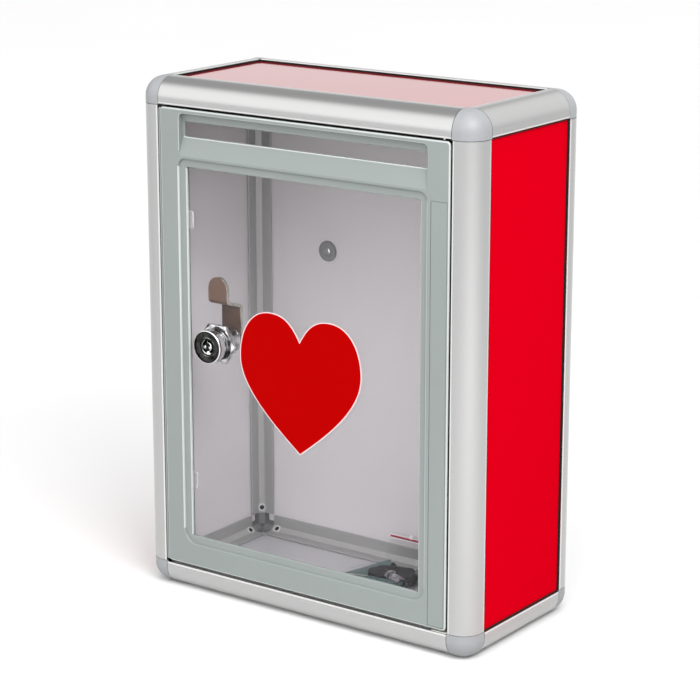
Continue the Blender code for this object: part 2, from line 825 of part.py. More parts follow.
def strip_corners(margin):
    """The corners of the hinge-side cover strip, or of its recess when margin is the gap round it."""
    low = Vector((STRIP_LEFT, STRIP_FRONT, DOOR_BOTTOM))
    high = Vector((STRIP_RIGHT, STRIP_FRONT + STRIP_THICK, STRIP_TOP))
    if margin:
        low -= Vector((margin, CUT_PAST, CUT_PAST))
        high += Vector((margin, margin, margin))
    return low, high


def make_glazing():
    low, high = strip_corners(0)
    block("hinge_cover_strip", low, high, DOOR_AXIS, DOOR_PLASTIC)
    outline = rectangle(
        WINDOW_LEFT - PANE_OVERLAP,
        WINDOW_BOTTOM - PANE_OVERLAP,
        WINDOW_RIGHT + PANE_OVERLAP,
        WINDOW_TOP + PANE_OVERLAP,
    )
    hole = circle(LOCK_X, LOCK_Z, LOCK_BODY_RADIUS + GAP, 32)
    middle = (0, PANE_FRONT + PANE / 2, 0)
    profile_piece("window_pane", [outline, hole], PANE, middle, DOOR_AXIS, ACRYLIC)
    middle = (HEART_X, PANE_FRONT - GAP - VINYL / 2, HEART_TIP)
    shape = heart(HEART_HALF, HEART_HEIGHT)
    profile_piece("heart_sticker", [shape], VINYL, middle, DOOR_AXIS, RED_VINYL)
    for name, edge, inward, z in clip_places():
        outer = edge - inward * CLIP_OUT
        inner = edge + inward * CLIP_IN
        clip = block(
            f"pane_clip_{name}",
            (min(outer, inner), CLIP_FRONT, z - CLIP_TALL / 2),
            (max(outer, inner), CLIP_FRONT + CLIP_THICK, z + CLIP_TALL / 2),
            DOOR_AXIS,
            NYLON,
        )
        x = edge - inward * SCREW_OUT
        hole = rod(
            f"pane_clip_hole_{name}",
            SCREW_RADIUS + SCREW_CLEARANCE,
            (x, CLIP_FRONT - CUT_PAST, z),
            (x, DOOR_BACK + CUT_PAST, z),
            DOOR_AXIS,
            turn=UPRIGHT_FRONT,
            sides=16,
        )
        combine(clip, hole)
        head = -(CLIP_FRONT + CLIP_THICK + GAP)
        profile = [
            (0, -SCREW_TIP),
            (SCREW_RADIUS, -SCREW_TIP),
            (SCREW_RADIUS, head),
            (SCREW_HEAD_RADIUS, head),
            (SCREW_HEAD_RADIUS, head - 0.55 * SCREW_HEAD),
            (0.65 * SCREW_HEAD_RADIUS, head - SCREW_HEAD),
            (0, head - SCREW_HEAD),
        ]
        turned(f"clip_screw_{name}", profile, (x, 0, z), DOOR_AXIS, ZINC_STEEL, 16)


def make_hinge_pins():
    for level, z0, z1 in (
        ("lower", DOOR_BOTTOM - PIN_IN_BUSH, DOOR_BOTTOM + PIN_IN_DOOR),
        ("upper", DOOR_TOP - PIN_IN_DOOR, DOOR_TOP + PIN_IN_BUSH),
    ):
        rod(
            f"hinge_pin_{level}",
            PIN_RADIUS,
            (HINGE_X, HINGE_Y, z0),
            (HINGE_X, HINGE_Y, z1),
            DOOR_AXIS,
            ZINC_STEEL,
            sides=16,
        )


# ---------------------------------------------------------------- lock


def make_lock_housing():
    """The lock's body: a round chrome head in front of the pane, and a flatted barrel behind it."""
    face = LOCK_PROUD
    bore = PLUG_RADIUS + PLUG_CLEARANCE
    chamfer, edge = 0.5 * MM, 1.3 * MM
    flange_back = -(PANE_FRONT - GAP)
    barrel_back = -(LOCK_LENGTH - LOCK_PROUD)
    profile = [
        (bore, face - chamfer),
        (bore + chamfer, face),
        (LOCK_FLANGE_RADIUS - edge, face),
        (LOCK_FLANGE_RADIUS, face - edge),
        (LOCK_FLANGE_RADIUS, flange_back),
        (LOCK_BODY_RADIUS, flange_back),
        (LOCK_BODY_RADIUS, barrel_back),
        (bore, barrel_back),
    ]
    at = (LOCK_X, 0, LOCK_Z)
    housing = turned("lock_housing", profile, at, DOOR_AXIS, CHROME, 40)
    clear = LOCK_BODY_RADIUS + CUT_PAST
    for name, direction in (("left", -1), ("right", 1)):
        near = LOCK_X + direction * BARREL_FLAT
        far = LOCK_X + direction * clear
        door_cut(
            housing,
            f"barrel_flat_{name}",
            (min(near, far), PANE_BACK + 0.1 * MM, LOCK_Z - clear),
            (max(near, far), LOCK_LENGTH + CUT_PAST, LOCK_Z + clear),
        )


def make_lock_plug():
    """The turning plug: a ring-shaped keyway in its face, and a square tail that carries the cam."""
    face = LOCK_PROUD - 0.8 * MM
    keyway_out, keyway_in, keyway_end = 4 * MM, 2.7 * MM, face - 5 * MM
    core_face = face - 0.4 * MM
    shoulder = -TAIL_FRONT
    profile = [
        (0, core_face),
        (keyway_in, core_face),
        (keyway_in, keyway_end),
        (keyway_out, keyway_end),
        (keyway_out, face),
        (PLUG_RADIUS, face),
        (PLUG_RADIUS, shoulder),
        (0, shoulder),
    ]
    at = (LOCK_X, 0, LOCK_Z)
    plug = turned("lock_plug", profile, at, LOCK_AXIS, BLACK_ENAMEL, 32)
    tail = block(
        "plug_tail",
        (LOCK_X - TAIL_HALF, TAIL_FRONT - 3 * MM, LOCK_Z - TAIL_HALF),
        (LOCK_X + TAIL_HALF, CAM_FRONT + CAM_PLATE + 0.2 * MM, LOCK_Z + TAIL_HALF),
        LOCK_AXIS,
    )
    combine(plug, tail, "UNION")
    hole = rod(
        "plug_screw_hole",
        CAM_SCREW_RADIUS + 0.15 * MM,
        (LOCK_X, TAIL_FRONT - 5 * MM, LOCK_Z),
        (LOCK_X, CAM_FRONT + CAM_PLATE + CUT_PAST, LOCK_Z),
        LOCK_AXIS,
        turn=UPRIGHT_FRONT,
        sides=16,
    )
    combine(plug, hole)


def make_lock_nut():
    corner = NUT_FLATS / 2 / math.cos(math.pi / 6)
    hexagon = arc((0, 0), corner, 90, 450, 6)[:-1]
    hole = circle(0, 0, LOCK_BODY_RADIUS + 0.15 * MM, 40)
    middle = (LOCK_X, PANE_BACK + GAP + NUT_THICK / 2, LOCK_Z)
    profile_piece("lock_nut", [hexagon, hole], NUT_THICK, middle, DOOR_AXIS, CHROME)


def make_cam():
    """The cranked cam: a plate on the plug's tail, a crank forward, and a round-ended tongue."""
    rear = CAM_FRONT + CAM_PLATE
    tongue_back = CAM_TIP_FRONT + CAM_PLATE
    side_view = [
        (rear, -CAM_HEEL),
        (rear, CRANK_START),
        (tongue_back, CRANK_END),
        (tongue_back, CAM_REACH),
        (CAM_TIP_FRONT, CAM_REACH),
        (CAM_TIP_FRONT, CRANK_END - CRANK_SHIFT),
        (CAM_FRONT, CRANK_START - CRANK_SHIFT),
        (CAM_FRONT, -CAM_HEEL),
    ]
    at = (LOCK_X, 0, LOCK_Z)
    cam = profile_piece("lock_cam", [side_view], CAM_WIDTH, at, LOCK_AXIS, ZINC_STEEL, UPRIGHT_SIDE)
    half = CAM_WIDTH / 2
    front_view = arc((0, CAM_REACH - half), half, 0, 180, 8) + arc((0, 0), half, 180, 360, 8)
    square = rectangle(
        -TAIL_HALF - GAP, -TAIL_HALF - GAP, TAIL_HALF + GAP, TAIL_HALF + GAP
    )
    trim = profile_piece("cam_trim", [front_view, square], 60 * MM, at, LOCK_AXIS)
    combine(cam, trim, "INTERSECT")
    head = -(rear + GAP)
    top = head - 2.2 * MM
    tip = -(TAIL_FRONT - 4 * MM)
    profile = [
        (0, tip),
        (CAM_SCREW_RADIUS, tip),
        (CAM_SCREW_RADIUS, head),
        (CAM_SCREW_HEAD, head),
        (CAM_SCREW_HEAD, head - 1.2 * MM),
        (CAM_SCREW_HEAD - 1.2 * MM, top),
        (0, top),
    ]
    turned("cam_screw", profile, at, LOCK_AXIS, ZINC_STEEL, 20)


make_rails()
make_connectors()
make_panels()
make_grommets()
make_hinge_bushes()
make_door_stops()
make_fixings_bag()
make_door_frame()
make_glazing()
make_hinge_pins()
make_lock_housing()
make_lock_plug()
make_lock_nut()
make_cam()
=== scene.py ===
import math

import bmesh
import bpy
from mathutils import Matrix, Vector
from mathutils.geometry import delaunay_2d_cdt
from mathutils.noise import noise


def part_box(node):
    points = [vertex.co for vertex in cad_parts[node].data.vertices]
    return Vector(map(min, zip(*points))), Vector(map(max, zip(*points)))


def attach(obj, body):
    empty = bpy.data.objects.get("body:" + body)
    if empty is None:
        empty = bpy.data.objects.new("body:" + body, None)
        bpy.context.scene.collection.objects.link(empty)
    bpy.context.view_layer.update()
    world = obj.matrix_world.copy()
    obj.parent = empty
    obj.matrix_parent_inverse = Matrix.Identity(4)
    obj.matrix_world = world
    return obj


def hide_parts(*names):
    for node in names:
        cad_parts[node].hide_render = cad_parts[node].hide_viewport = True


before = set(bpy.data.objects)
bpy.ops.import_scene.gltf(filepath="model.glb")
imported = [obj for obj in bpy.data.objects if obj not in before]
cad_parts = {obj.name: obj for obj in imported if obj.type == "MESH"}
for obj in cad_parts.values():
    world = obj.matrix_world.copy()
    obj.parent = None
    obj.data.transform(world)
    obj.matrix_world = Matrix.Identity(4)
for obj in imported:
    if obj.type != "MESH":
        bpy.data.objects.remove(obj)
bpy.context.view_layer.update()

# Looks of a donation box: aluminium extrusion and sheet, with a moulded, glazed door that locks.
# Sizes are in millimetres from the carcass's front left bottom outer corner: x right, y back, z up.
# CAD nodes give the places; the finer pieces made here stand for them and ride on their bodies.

MM = 0.001
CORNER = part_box("corner_bottom_front_left")[0]
SIZE = (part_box("corner_top_rear_right")[1] - CORNER) / MM
TO_WORLD = Matrix.Translation(CORNER) @ Matrix.Scale(MM, 4)
SCENE = bpy.context.scene

# Extrusion, measured inwards from its two outer faces
RAIL_FACE = 15
RAIL_ROUND = 11.5
RAIL_WALL = 1.2
SLOT_LINE = 8.3  # how near to the outer face a slot reaches
INNER_FACE = 5.7
LIP_END = 14.5  # the outer lips stop a little short of the inner ones
LIP_HIGHLIGHT_BAND = 1.0  # width of the painted highlight along each outer lip's edge
GAP = 0.3
ARM_LENGTH = 18

# Door details
DOOR_CORNER = 2.2
RIM_LEFT, RIM_RIGHT, RIM_LOW, RIM_HIGH = 4.8, 4.5, 4.7, 4.6  # widths of the sloping band round the window
GAP_STRIP_SWELL = 3.2  # how much more the strip round the door's edge stands out along the lock's edge
RIM_TOP_RADIUS, RIM_BOTTOM_RADIUS = 4.5, 8.5
PANE_OVERLAP = 3.3
HEART_RIM = 0.5  # width of the pale edge round the heart
SLOT = (31.0, 268.0, 195.5, 276.5)  # the deposit opening, from low x and z to high x and z
RAMP = (29.5, 257.5, 197.0, 281.5)  # the sunken surround of the opening, in the same way


def span(node):
    """A CAD node's lowest and highest corners, in millimetres from the carcass's corner."""
    low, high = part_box(node)
    return (low - CORNER) / MM, (high - CORNER) / MM


# ---------------------------------------------------------------- outlines


def arc(x, y, radius, start, end, steps):
    """Points along an arc, with its angles in degrees."""
    angles = [math.radians(start + (end - start) * i / steps) for i in range(steps + 1)]
    return [(x + radius * math.cos(a), y + radius * math.sin(a)) for a in angles]


def rounded(x0, y0, x1, y1, radius, grow=0.0, steps=6):
    """A rectangle with round corners, bigger all round by grow. radius may be (low, high)."""
    low, high = radius if isinstance(radius, tuple) else (radius, radius)
    low, high = max(low + grow, 0.05), max(high + grow, 0.05)
    x0, y0, x1, y1 = x0 - grow, y0 - grow, x1 + grow, y1 + grow
    return (
        arc(x1 - low, y0 + low, low, -90, 0, steps)
        + arc(x1 - high, y1 - high, high, 0, 90, steps)
        + arc(x0 + high, y1 - high, high, 90, 180, steps)
        + arc(x0 + low, y0 + low, low, 180, 270, steps)
    )


def soften(points, radius, steps=2, closed=True):
    """Rounds the corners of a polygon or, where it isn't closed, of a line."""
    made = []
    count = len(points)
    for i, point in enumerate(points):
        here = Vector(point)
        before, after = Vector(points[i - 1]), Vector(points[(i + 1) % count])
        if not closed and i in (0, count - 1):
            made.append(tuple(here))
            continue
        back, on = before - here, after - here
        turn = math.pi - back.angle(on, math.pi)
        reach = radius * math.tan(turn / 2)
        reach = min(reach, 0.45 * back.length, 0.45 * on.length)
        if turn < math.radians(12) or reach < 0.01:
            made.append(tuple(here))
            continue
        start, end = here + back.normalized() * reach, here + on.normalized() * reach
        for k in range(steps + 1):
            t = k / steps
            made.append(tuple(start * (1 - t) ** 2 + here * 2 * t * (1 - t) + end * t * t))
    return made


def bezier(a, b, c, d, steps):
    """Points of a cubic curve from a to d, leaving out d."""
    points = []
    for i in range(steps):
        t = i / steps
        s = 1 - t
        weights = (s**3, 3 * s * s * t, 3 * s * t * t, t**3)
        points.append(tuple(sum(w * p[k] for w, p in zip(weights, (a, b, c, d))) for k in (0, 1)))
    return points


# ---------------------------------------------------------------- mesh building


def ring(shape, points):
    return [shape.verts.new(p) for p in points]


def bridge(shape, one, other):
    """Quads between two loops with the same number of points."""
    count = len(one)
    for i in range(count):
        j = (i + 1) % count
        shape.faces.new((one[i], one[j], other[j], other[i]))


def net(shape, grid):
    """Quads between the rows of a grid of points."""
    for one, other in zip(grid, grid[1:]):
        for i in range(len(one) - 1):
            shape.faces.new((one[i], one[i + 1], other[i + 1], other[i]))


def border(grid):
    """The points round the edge of a grid, in turn."""
    side = [row[-1] for row in grid[1:-1]]
    return grid[0] + side + grid[-1][::-1] + [row[0] for row in grid[-2:0:-1]]


def inside(point, loop):
    """Whether a flat point lies inside a flat loop."""
    x, y = point
    crossings = 0
    for (ax, ay), (bx, by) in zip(loop, loop[1:] + loop[:1]):
        if (ay > y) != (by > y) and x < ax + (y - ay) * (bx - ax) / (by - ay):
            crossings += 1
    return crossings % 2 == 1


def fill(shape, *loops):
    """A flat region inside the first loop and outside the others."""
    corners = [vertex for loop in loops for vertex in loop]
    spread = [max(v.co[k] for v in corners) - min(v.co[k] for v in corners) for k in range(3)]
    across = sorted(sorted(range(3), key=lambda k: -spread[k])[:2])
    flat = [[tuple(v.co[k] for k in across) for v in loop] for loop in loops]
    edges = []
    for loop in loops:
        start = len(edges)
        edges += [(start + i, start + (i + 1) % len(loop)) for i in range(len(loop))]
    points = [Vector(p) for loop in flat for p in loop]
    found = delaunay_2d_cdt(points, edges, [], 1, 1e-6)
    spots, triangles, sources = found[0], found[2], found[3]
    for triangle in triangles:
        middle = sum((spots[i] for i in triangle), Vector((0, 0))) / 3
        if inside(middle, flat[0]) and not any(inside(middle, hole) for hole in flat[1:]):
            shape.faces.new([corners[sources[i][0]] for i in triangle])


def loft(shape, stations, zone=None):
    """Rings of (outline in XZ, y), joined in turn. Returns the rings.

    zone gives each face's material from its band and its middle's x and z.
    """
    rings = []
    for outline, y in stations:
        rings.append(ring(shape, [(x, y(x, z) if callable(y) else y, z) for x, z in outline]))
    for band, (one, other) in enumerate(zip(rings, rings[1:])):
        before = set(shape.faces) if zone else None
        bridge(shape, one, other)
        if zone:
            for face in set(shape.faces) - before:
                middle = face.calc_center_median()
                face.material_index = zone(band, middle.x, middle.z)
    return rings


def edge(outline, side, y, direction, radius, steps=3):
    """Stations of a round edge where a wall meets the face at y. side is -1 round a solid, 1 round a hole."""
    for i in range(steps + 1):
        a = math.pi / 2 * i / steps
        yield outline(side * radius * (1 - math.sin(a))), y + direction * radius * (1 - math.cos(a))


def prism(shape, outline, near, far, soft=0.3):
    """A solid between two depths along Y. outline takes how much it grows; its edges are round."""
    stations = list(edge(outline, -1, near, 1, soft))
    stations += reversed(list(edge(outline, -1, far, -1, soft)))
    rings = loft(shape, stations)
    fill(shape, rings[0])
    fill(shape, rings[-1])
    return rings


def pocket(shape, outline, mouth, floor, soft=0.25):
    """A closed recess cut forwards from the face at mouth. Returns its rim, a hole for that face."""
    stations = list(edge(outline, 1, mouth, -1, soft)) + [(outline(-0.2), floor)]
    rings = loft(shape, stations)
    fill(shape, rings[-1])
    return rings[0]


def lathe(shape, profile, steps, material=None):
    """Turns a closed profile of (radius, forward) about an axis that faces the front."""
    loops = []
    for radius, forward in profile:
        if radius < 1e-6:
            loops.append([shape.verts.new((0, -forward, 0))])
            continue
        angles = [2 * math.pi * i / steps for i in range(steps)]
        loops.append(ring(shape, [(radius * math.cos(a), -forward, radius * math.sin(a)) for a in angles]))
    pairs = list(zip(loops, loops[1:] + loops[:1]))
    for index, (one, other) in enumerate(pairs):
        if len(one) == 1 and len(other) == 1:
            continue
        before = set(shape.faces)
        if len(one) == 1 or len(other) == 1:
            tip, rim = (one[0], other) if len(one) == 1 else (other[0], one)
            for i in range(steps):
                shape.faces.new((tip, rim[i], rim[(i + 1) % steps]))
        else:
            bridge(shape, one, other)
        if material is not None:
            for face in set(shape.faces) - before:
                face.material_index = material(index)


def block(shape, low, high, soft=0.25, segments=2):
    """A box between two corners, with round edges."""
    low, high = Vector(low), Vector(high)
    made = bmesh.ops.create_cube(shape, size=1)["verts"]
    bmesh.ops.scale(shape, vec=high - low, verts=made)
    bmesh.ops.translate(shape, vec=(low + high) / 2, verts=made)
    edges = list({e for v in made for e in v.link_edges})
    soft = min(soft, 0.45 * min(high - low))
    bmesh.ops.bevel(shape, geom=edges, offset=soft, segments=segments, profile=0.5, affect="EDGES")


def move(shape, place, turn=None):
    matrix = Matrix.Translation(place) @ (turn or Matrix.Identity(4))
    bmesh.ops.transform(shape, matrix=matrix, verts=shape.verts)


def working_object(shape):
    mesh = bpy.data.meshes.new("working")
    bmesh.ops.recalc_face_normals(shape, faces=shape.faces)
    shape.to_mesh(mesh)
    shape.free()
    thing = bpy.data.objects.new("working", mesh)
    SCENE.collection.objects.link(thing)
    return thing


def carve(base, steps):
    """Applies (operation, other shape) in turn to the base shape, and returns the result."""
    base = working_object(base)
    others = []
    for operation, other in steps:
        others.append(working_object(other))
        modifier = base.modifiers.new("carve", "BOOLEAN")
        modifier.operation = operation
        modifier.solver = "EXACT"
        modifier.object = others[-1]
    bpy.context.view_layer.update()
    graph = bpy.context.evaluated_depsgraph_get()
    mesh = bpy.data.meshes.new_from_object(base.evaluated_get(graph))
    for thing in [base, *others]:
        bpy.data.objects.remove(thing, do_unlink=True)
    shape = bmesh.new()
    shape.from_mesh(mesh)
    bpy.data.meshes.remove(mesh)
    return shape


def piece(name, shape, looks, body, stands_for=(), sharp=32, even=True):
    """Makes the object for a finished shape, in the row frame, and ties it to its body."""
    bmesh.ops.recalc_face_normals(shape, faces=shape.faces)
    mesh = bpy.data.meshes.new(name)
    shape.to_mesh(mesh)
    shape.free()
    mesh.transform(TO_WORLD)
    mesh.shade_smooth()
    mesh.set_sharp_from_angle(angle=math.radians(sharp))
    for look in looks if isinstance(looks, list) else [looks]:
        mesh.materials.append(look)
    made = bpy.data.objects.new(name, mesh)
    SCENE.collection.objects.link(made)
    if even:
        made.modifiers.new("even_normals", "WEIGHTED_NORMAL").keep_sharp = True
    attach(made, body)
    if stands_for:
        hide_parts(*([stands_for] if isinstance(stands_for, str) else stands_for))
    return made


# ---------------------------------------------------------------- materials


def add_node(tree, kind, values=(), wires=()):
    """A shader node with some inputs set and others wired up, by the sockets' names or numbers."""
    made = tree.nodes.new(kind)
    for socket, value in dict(values).items():
        made.inputs[socket].default_value = value
    for socket, source in dict(wires).items():
        tree.links.new(source, made.inputs[socket])
    return made


class Look:
    """A Principled material whose colour, roughness and relief come from noise on the object's own place."""

    def __init__(self, name, colour, roughness, metallic=0.0, **sockets):
        self.material = bpy.data.materials.new(name)
        self.material.use_nodes = True
        self.tree = self.material.node_tree
        self.shader = self.tree.nodes["Principled BSDF"]
        self.colour = colour
        self.roughness = roughness
        self.shader.inputs["Metallic"].default_value = metallic
        for socket, value in sockets.items():
            self.shader.inputs[socket.replace("_", " ")].default_value = value
        self.place = add_node(self.tree, "ShaderNodeTexCoord").outputs["Object"]

    def feed(self, socket, source):
        self.tree.links.new(source, self.shader.inputs[socket])

    def noise(self, scale, detail=3.0, stretch=(1, 1, 1)):
        mapping = add_node(self.tree, "ShaderNodeMapping", {"Scale": stretch}, {"Vector": self.place})
        wires = {"Vector": mapping.outputs["Vector"]}
        made = add_node(self.tree, "ShaderNodeTexNoise", {"Scale": scale, "Detail": detail}, wires)
        return made.outputs["Fac"]

    def blend(self, factor, one, other):
        """A colour between two, by a factor."""
        mix = self.tree.nodes.new("ShaderNodeMix")
        mix.data_type = "RGBA"
        self.tree.links.new(factor, mix.inputs["Factor"])
        mix.inputs[6].default_value = (*one, 1)
        mix.inputs[7].default_value = (*other, 1)
        return mix.outputs[2]

    def ranged(self, factor, low, high):
        """Noise seldom comes near 0 or 1, so its middle part is spread from low to high."""
        limits = {"From Min": 0.3, "From Max": 0.7, "To Min": low, "To Max": high}
        return add_node(self.tree, "ShaderNodeMapRange", limits, {"Value": factor}).outputs["Result"]

    def vary(self, factor, share):
        """The colour drifts by a share, darker and lighter."""
        dark = [c * (1 - share) for c in self.colour]
        light = [min(c * (1 + share), 1) for c in self.colour]
        self.feed("Base Color", self.blend(self.ranged(factor, 0, 1), dark, light))

    def polish(self, factor, spread):
        """The roughness drifts by a spread, down and up."""
        self.feed("Roughness", self.ranged(factor, self.roughness - spread, self.roughness + spread))

    def relief(self, height, distance):
        depth = {"Strength": 1, "Distance": distance}
        bump = add_node(self.tree, "ShaderNodeBump", depth, {"Height": height})
        self.feed("Normal", bump.outputs["Normal"])


def moulded(name, colour, roughness=0.42, grain=2600, depth=0.00002, share=0.03, **sockets):
    """Moulded plastic: a fine spark texture and a slight drift of colour from the flow of the melt."""
    look = Look(name, colour, roughness, **sockets)
    look.vary(look.noise(9, 2), share)
    look.polish(look.noise(60, 3), 0.04)
    look.relief(look.noise(grain, 2), depth)
    return look.material


def anodised(name, axis, level, roughness, metallic=1.0):
    """Satin anodised aluminium with faint die lines along the extrusion."""
    look = Look(f"{name}_{'xyz'[axis]}", (level, level * 1.005, level * 0.995), roughness, metallic)
    stretch = [1, 1, 1]
    stretch[axis] = 0.012
    look.vary(look.noise(160, 2, tuple(stretch)), 0.006)
    look.polish(look.noise(400, 2, tuple(stretch)), 0.006)
    return look.material


def plated(name, colour, roughness, share=0.04, lines=(1, 1, 1), grain=90):
    """Plated or polished metal with fine wiping marks, and bright and dull patches as big as the grain: with
    a large share, these patches are painted reflections.
    """
    look = Look(name, colour, roughness, 1.0)
    look.vary(look.noise(grain, 4), share)
    look.polish(look.noise(900, 4, lines), 0.35 * roughness)
    look.relief(look.noise(1400, 3, lines), 0.000004)
    return look.material


def red_film(name, gloss, red, lacquer=0.0):
    """Red laminate with the slight ripple of film on sheet, more or less glossy."""
    look = Look(name, (red, 0.0, 0.006), 0.10, Specular_Tint=(1.0, 0.02, 0.02, 1), Specular_IOR_Level=gloss)
    look.shader.inputs["Coat Weight"].default_value = lacquer
    look.shader.inputs["Coat Roughness"].default_value = 0.06
    look.vary(look.noise(5, 2), 0.02)
    look.polish(look.noise(40, 2), 0.02)
    look.relief(look.noise(420, 2), 0.000003)
    return look.material


def red_vinyl():
    tint = (1.0, 0.05, 0.05, 1)
    look = Look("red_vinyl", (0.30, 0.0, 0.0), 0.32, Specular_Tint=tint, Specular_IOR_Level=0.03)
    look.vary(look.noise(14, 2), 0.02)
    look.polish(look.noise(300, 3), 0.04)
    look.relief(look.noise(1800, 2), 0.000008)
    return look.material


def see_through(name, colour, haze, roughness, mirrored, steepness=5):
    """Thin clear sheet: what is behind shows through, and haze scatters a little.

    A share is mirrored, from the given one head-on up to all of it at a grazing angle.
    The higher the steepness, the nearer to grazing the rise begins.
    """
    made = bpy.data.materials.new(name)
    made.use_nodes = True
    tree = made.node_tree
    tree.nodes.clear()
    place = add_node(tree, "ShaderNodeTexCoord").outputs["Object"]
    smear = add_node(tree, "ShaderNodeTexNoise", {"Scale": 30}, {"Vector": place})
    levels = {"To Min": 0.6 * haze, "To Max": 1.4 * haze}
    amount = add_node(tree, "ShaderNodeMapRange", levels, {"Value": smear.outputs["Fac"]})
    clear = add_node(tree, "ShaderNodeBsdfTransparent", {"Color": (*colour, 1)})
    mist = add_node(tree, "ShaderNodeBsdfDiffuse")
    wires = {"Fac": amount.outputs["Result"], 1: clear.outputs["BSDF"], 2: mist.outputs["BSDF"]}
    cloudy = add_node(tree, "ShaderNodeMixShader", (), wires)
    weight = add_node(tree, "ShaderNodeLayerWeight")
    grazing = add_node(tree, "ShaderNodeMath", {1: steepness}, {0: weight.outputs["Facing"]})
    grazing.operation = "POWER"
    limits = {"To Min": mirrored}
    share = add_node(tree, "ShaderNodeMapRange", limits, {"Value": grazing.outputs["Value"]})
    mirror = add_node(tree, "ShaderNodeBsdfGlossy", {"Roughness": roughness})
    wires = {"Fac": share.outputs["Result"], 1: cloudy.outputs["Shader"], 2: mirror.outputs["BSDF"]}
    both = add_node(tree, "ShaderNodeMixShader", (), wires)
    add_node(tree, "ShaderNodeOutputMaterial", (), {"Surface": both.outputs["Shader"]})
    return made


# One level for rails along x, y and z: the rails along x are a lighter copy, painted light that brightens the
# front rails' highlight.
RAIL_LEVELS_WITH_PAINTED_LIGHT = (0.47, 0.45, 0.465)
ALUMINIUM = [anodised("anodised_aluminium", axis, RAIL_LEVELS_WITH_PAINTED_LIGHT[axis], 0.26) for axis in range(3)]
SLOT_SATIN = [anodised("anodised_slot", axis, 0.46, 0.42, 0.5) for axis in range(3)]
WEB_SATIN = [anodised("anodised_web", axis, 0.48, 0.5, 0.5) for axis in range(3)]
# A lighter copy of the aluminium along the outer lips' edges: painted highlight.
LIP_PAINTED_HIGHLIGHT = [anodised("anodised_lip_painted_highlight", axis, 0.69, 0.30) for axis in range(3)]
CORNER_GREY = moulded("corner_plastic", (0.222, 0.226, 0.235), 0.46)
# A darker copy of the corner plastic for the connectors' hub and arms: painted shade.
CORE_PAINTED_SHADE = moulded("connector_core_painted_shade", (0.17, 0.175, 0.185), 0.5)
RED_FILM = red_film("red_laminate", 0.0, 0.44)
# The top's laminate is a darker red than the sides', glossier and lacquered: the darker red is painted shade.
TOP_FILM_PAINTED_SHADE = red_film("red_laminate_top_painted_shade", 0.5, 0.22, 0.45)
# Black for strips put where gaps lie in shadow: painted shade.
GAP_SHADE_BLACK = moulded("black_gap_shade", (0.010, 0.009, 0.009), 0.65, Specular_IOR_Level=0.12)
SHEET_CORE = moulded("pale_sheet", (0.718, 0.70, 0.713), 0.45, 900, 0.000004)
# A darker copy of the pale sheet for the bottom: painted shade on the floor inside the box.
BASE_SHEET_PAINTED_SHADE = moulded("pale_base_sheet_painted_shade", (0.50, 0.495, 0.515), 0.45, 900, 0.000004)
# A dark, reddish copy of the pale sheet for the top's underside: painted shade.
CEILING_PAINTED_SHADE = moulded("top_sheet_underside_painted_shade", (0.15, 0.095, 0.088), 0.45, 900, 0.000004)
DOOR_GREY = moulded("door_plastic", (0.180, 0.201, 0.195), 0.42)
# A lighter, glossier copy of the door plastic for round edges: painted highlight.
DOOR_EDGE_PAINTED_HIGHLIGHT = moulded("door_plastic_radius_painted_highlight", (0.38, 0.40, 0.395), 0.22, 1200, 0.000004)
CLIP_GREY = moulded("clip_grey", (0.58, 0.565, 0.575), 0.45)
SCREW_SEAT = moulded("screw_seat", (0.62, 0.63, 0.64), 0.4)
ACRYLIC = see_through("clear_acrylic", (0.985, 0.98, 0.985), 0.004, 0.02, 0.015)
VINYL = red_vinyl()
VINYL_RIM = moulded("vinyl_rim", (0.66, 0.48, 0.49), 0.4, 1500, 0.000004)
# Chrome, dark chrome and key steel: their strong bright and dark patches are painted reflections.
CHROME_PAINTED_REFLECTIONS = plated("chrome", (0.56, 0.56, 0.57), 0.07, 0.9, grain=230)
BLACK = plated("black_enamel", (0.016, 0.016, 0.015), 0.2)
GRIP_BLACK = moulded("key_grip", (0.010, 0.010, 0.014), 0.6, 1500, 0.00001, Specular_IOR_Level=0.2)
DARK_CHROME_PAINTED_REFLECTIONS = plated("dark_chrome_painted_reflections", (0.034, 0.034, 0.032), 0.16, 0.95, grain=420)
# A lighter copy of the chrome for the lock's bezel: painted highlight.
BEZEL_PAINTED_HIGHLIGHT = plated("bezel_chrome_painted_highlight", (0.80, 0.80, 0.81), 0.12, 0.2)
CAM_STEEL = moulded("zinc_steel_cam", (0.112, 0.062, 0.042), 0.36, 1400, 0.000004, 0.10, Metallic=0.5)
SCREW_STEEL = plated("zinc_steel", (0.60, 0.58, 0.52), 0.26)
NYLON = moulded("nylon", (0.62, 0.62, 0.58), 0.5, 1500, 0.00001)
FILM = see_through("clear_polythene", (0.985, 0.985, 0.985), 0.003, 0.05, 0.010, 11)
KEY_STEEL_PAINTED_REFLECTIONS = plated("key_steel_painted_reflections", (0.36, 0.36, 0.38), 0.15, 0.95, grain=520)
ZIP_RED = moulded("zip_red", (0.36, 0.0, 0.03), 0.35, 1500, 0.000004)
# Pale plastic for the bag's slider, and for the band round the closing line that is a painted highlight.
ZIP_PALE_AND_HALO = moulded("zip_band", (1.0, 0.96, 0.97), 0.35, 1500, 0.000004)
PLUG_TEAL = moulded("plug_teal", (0.075, 0.125, 0.125), 0.45, 1500, 0.00001)


# ---------------------------------------------------------------- carcass


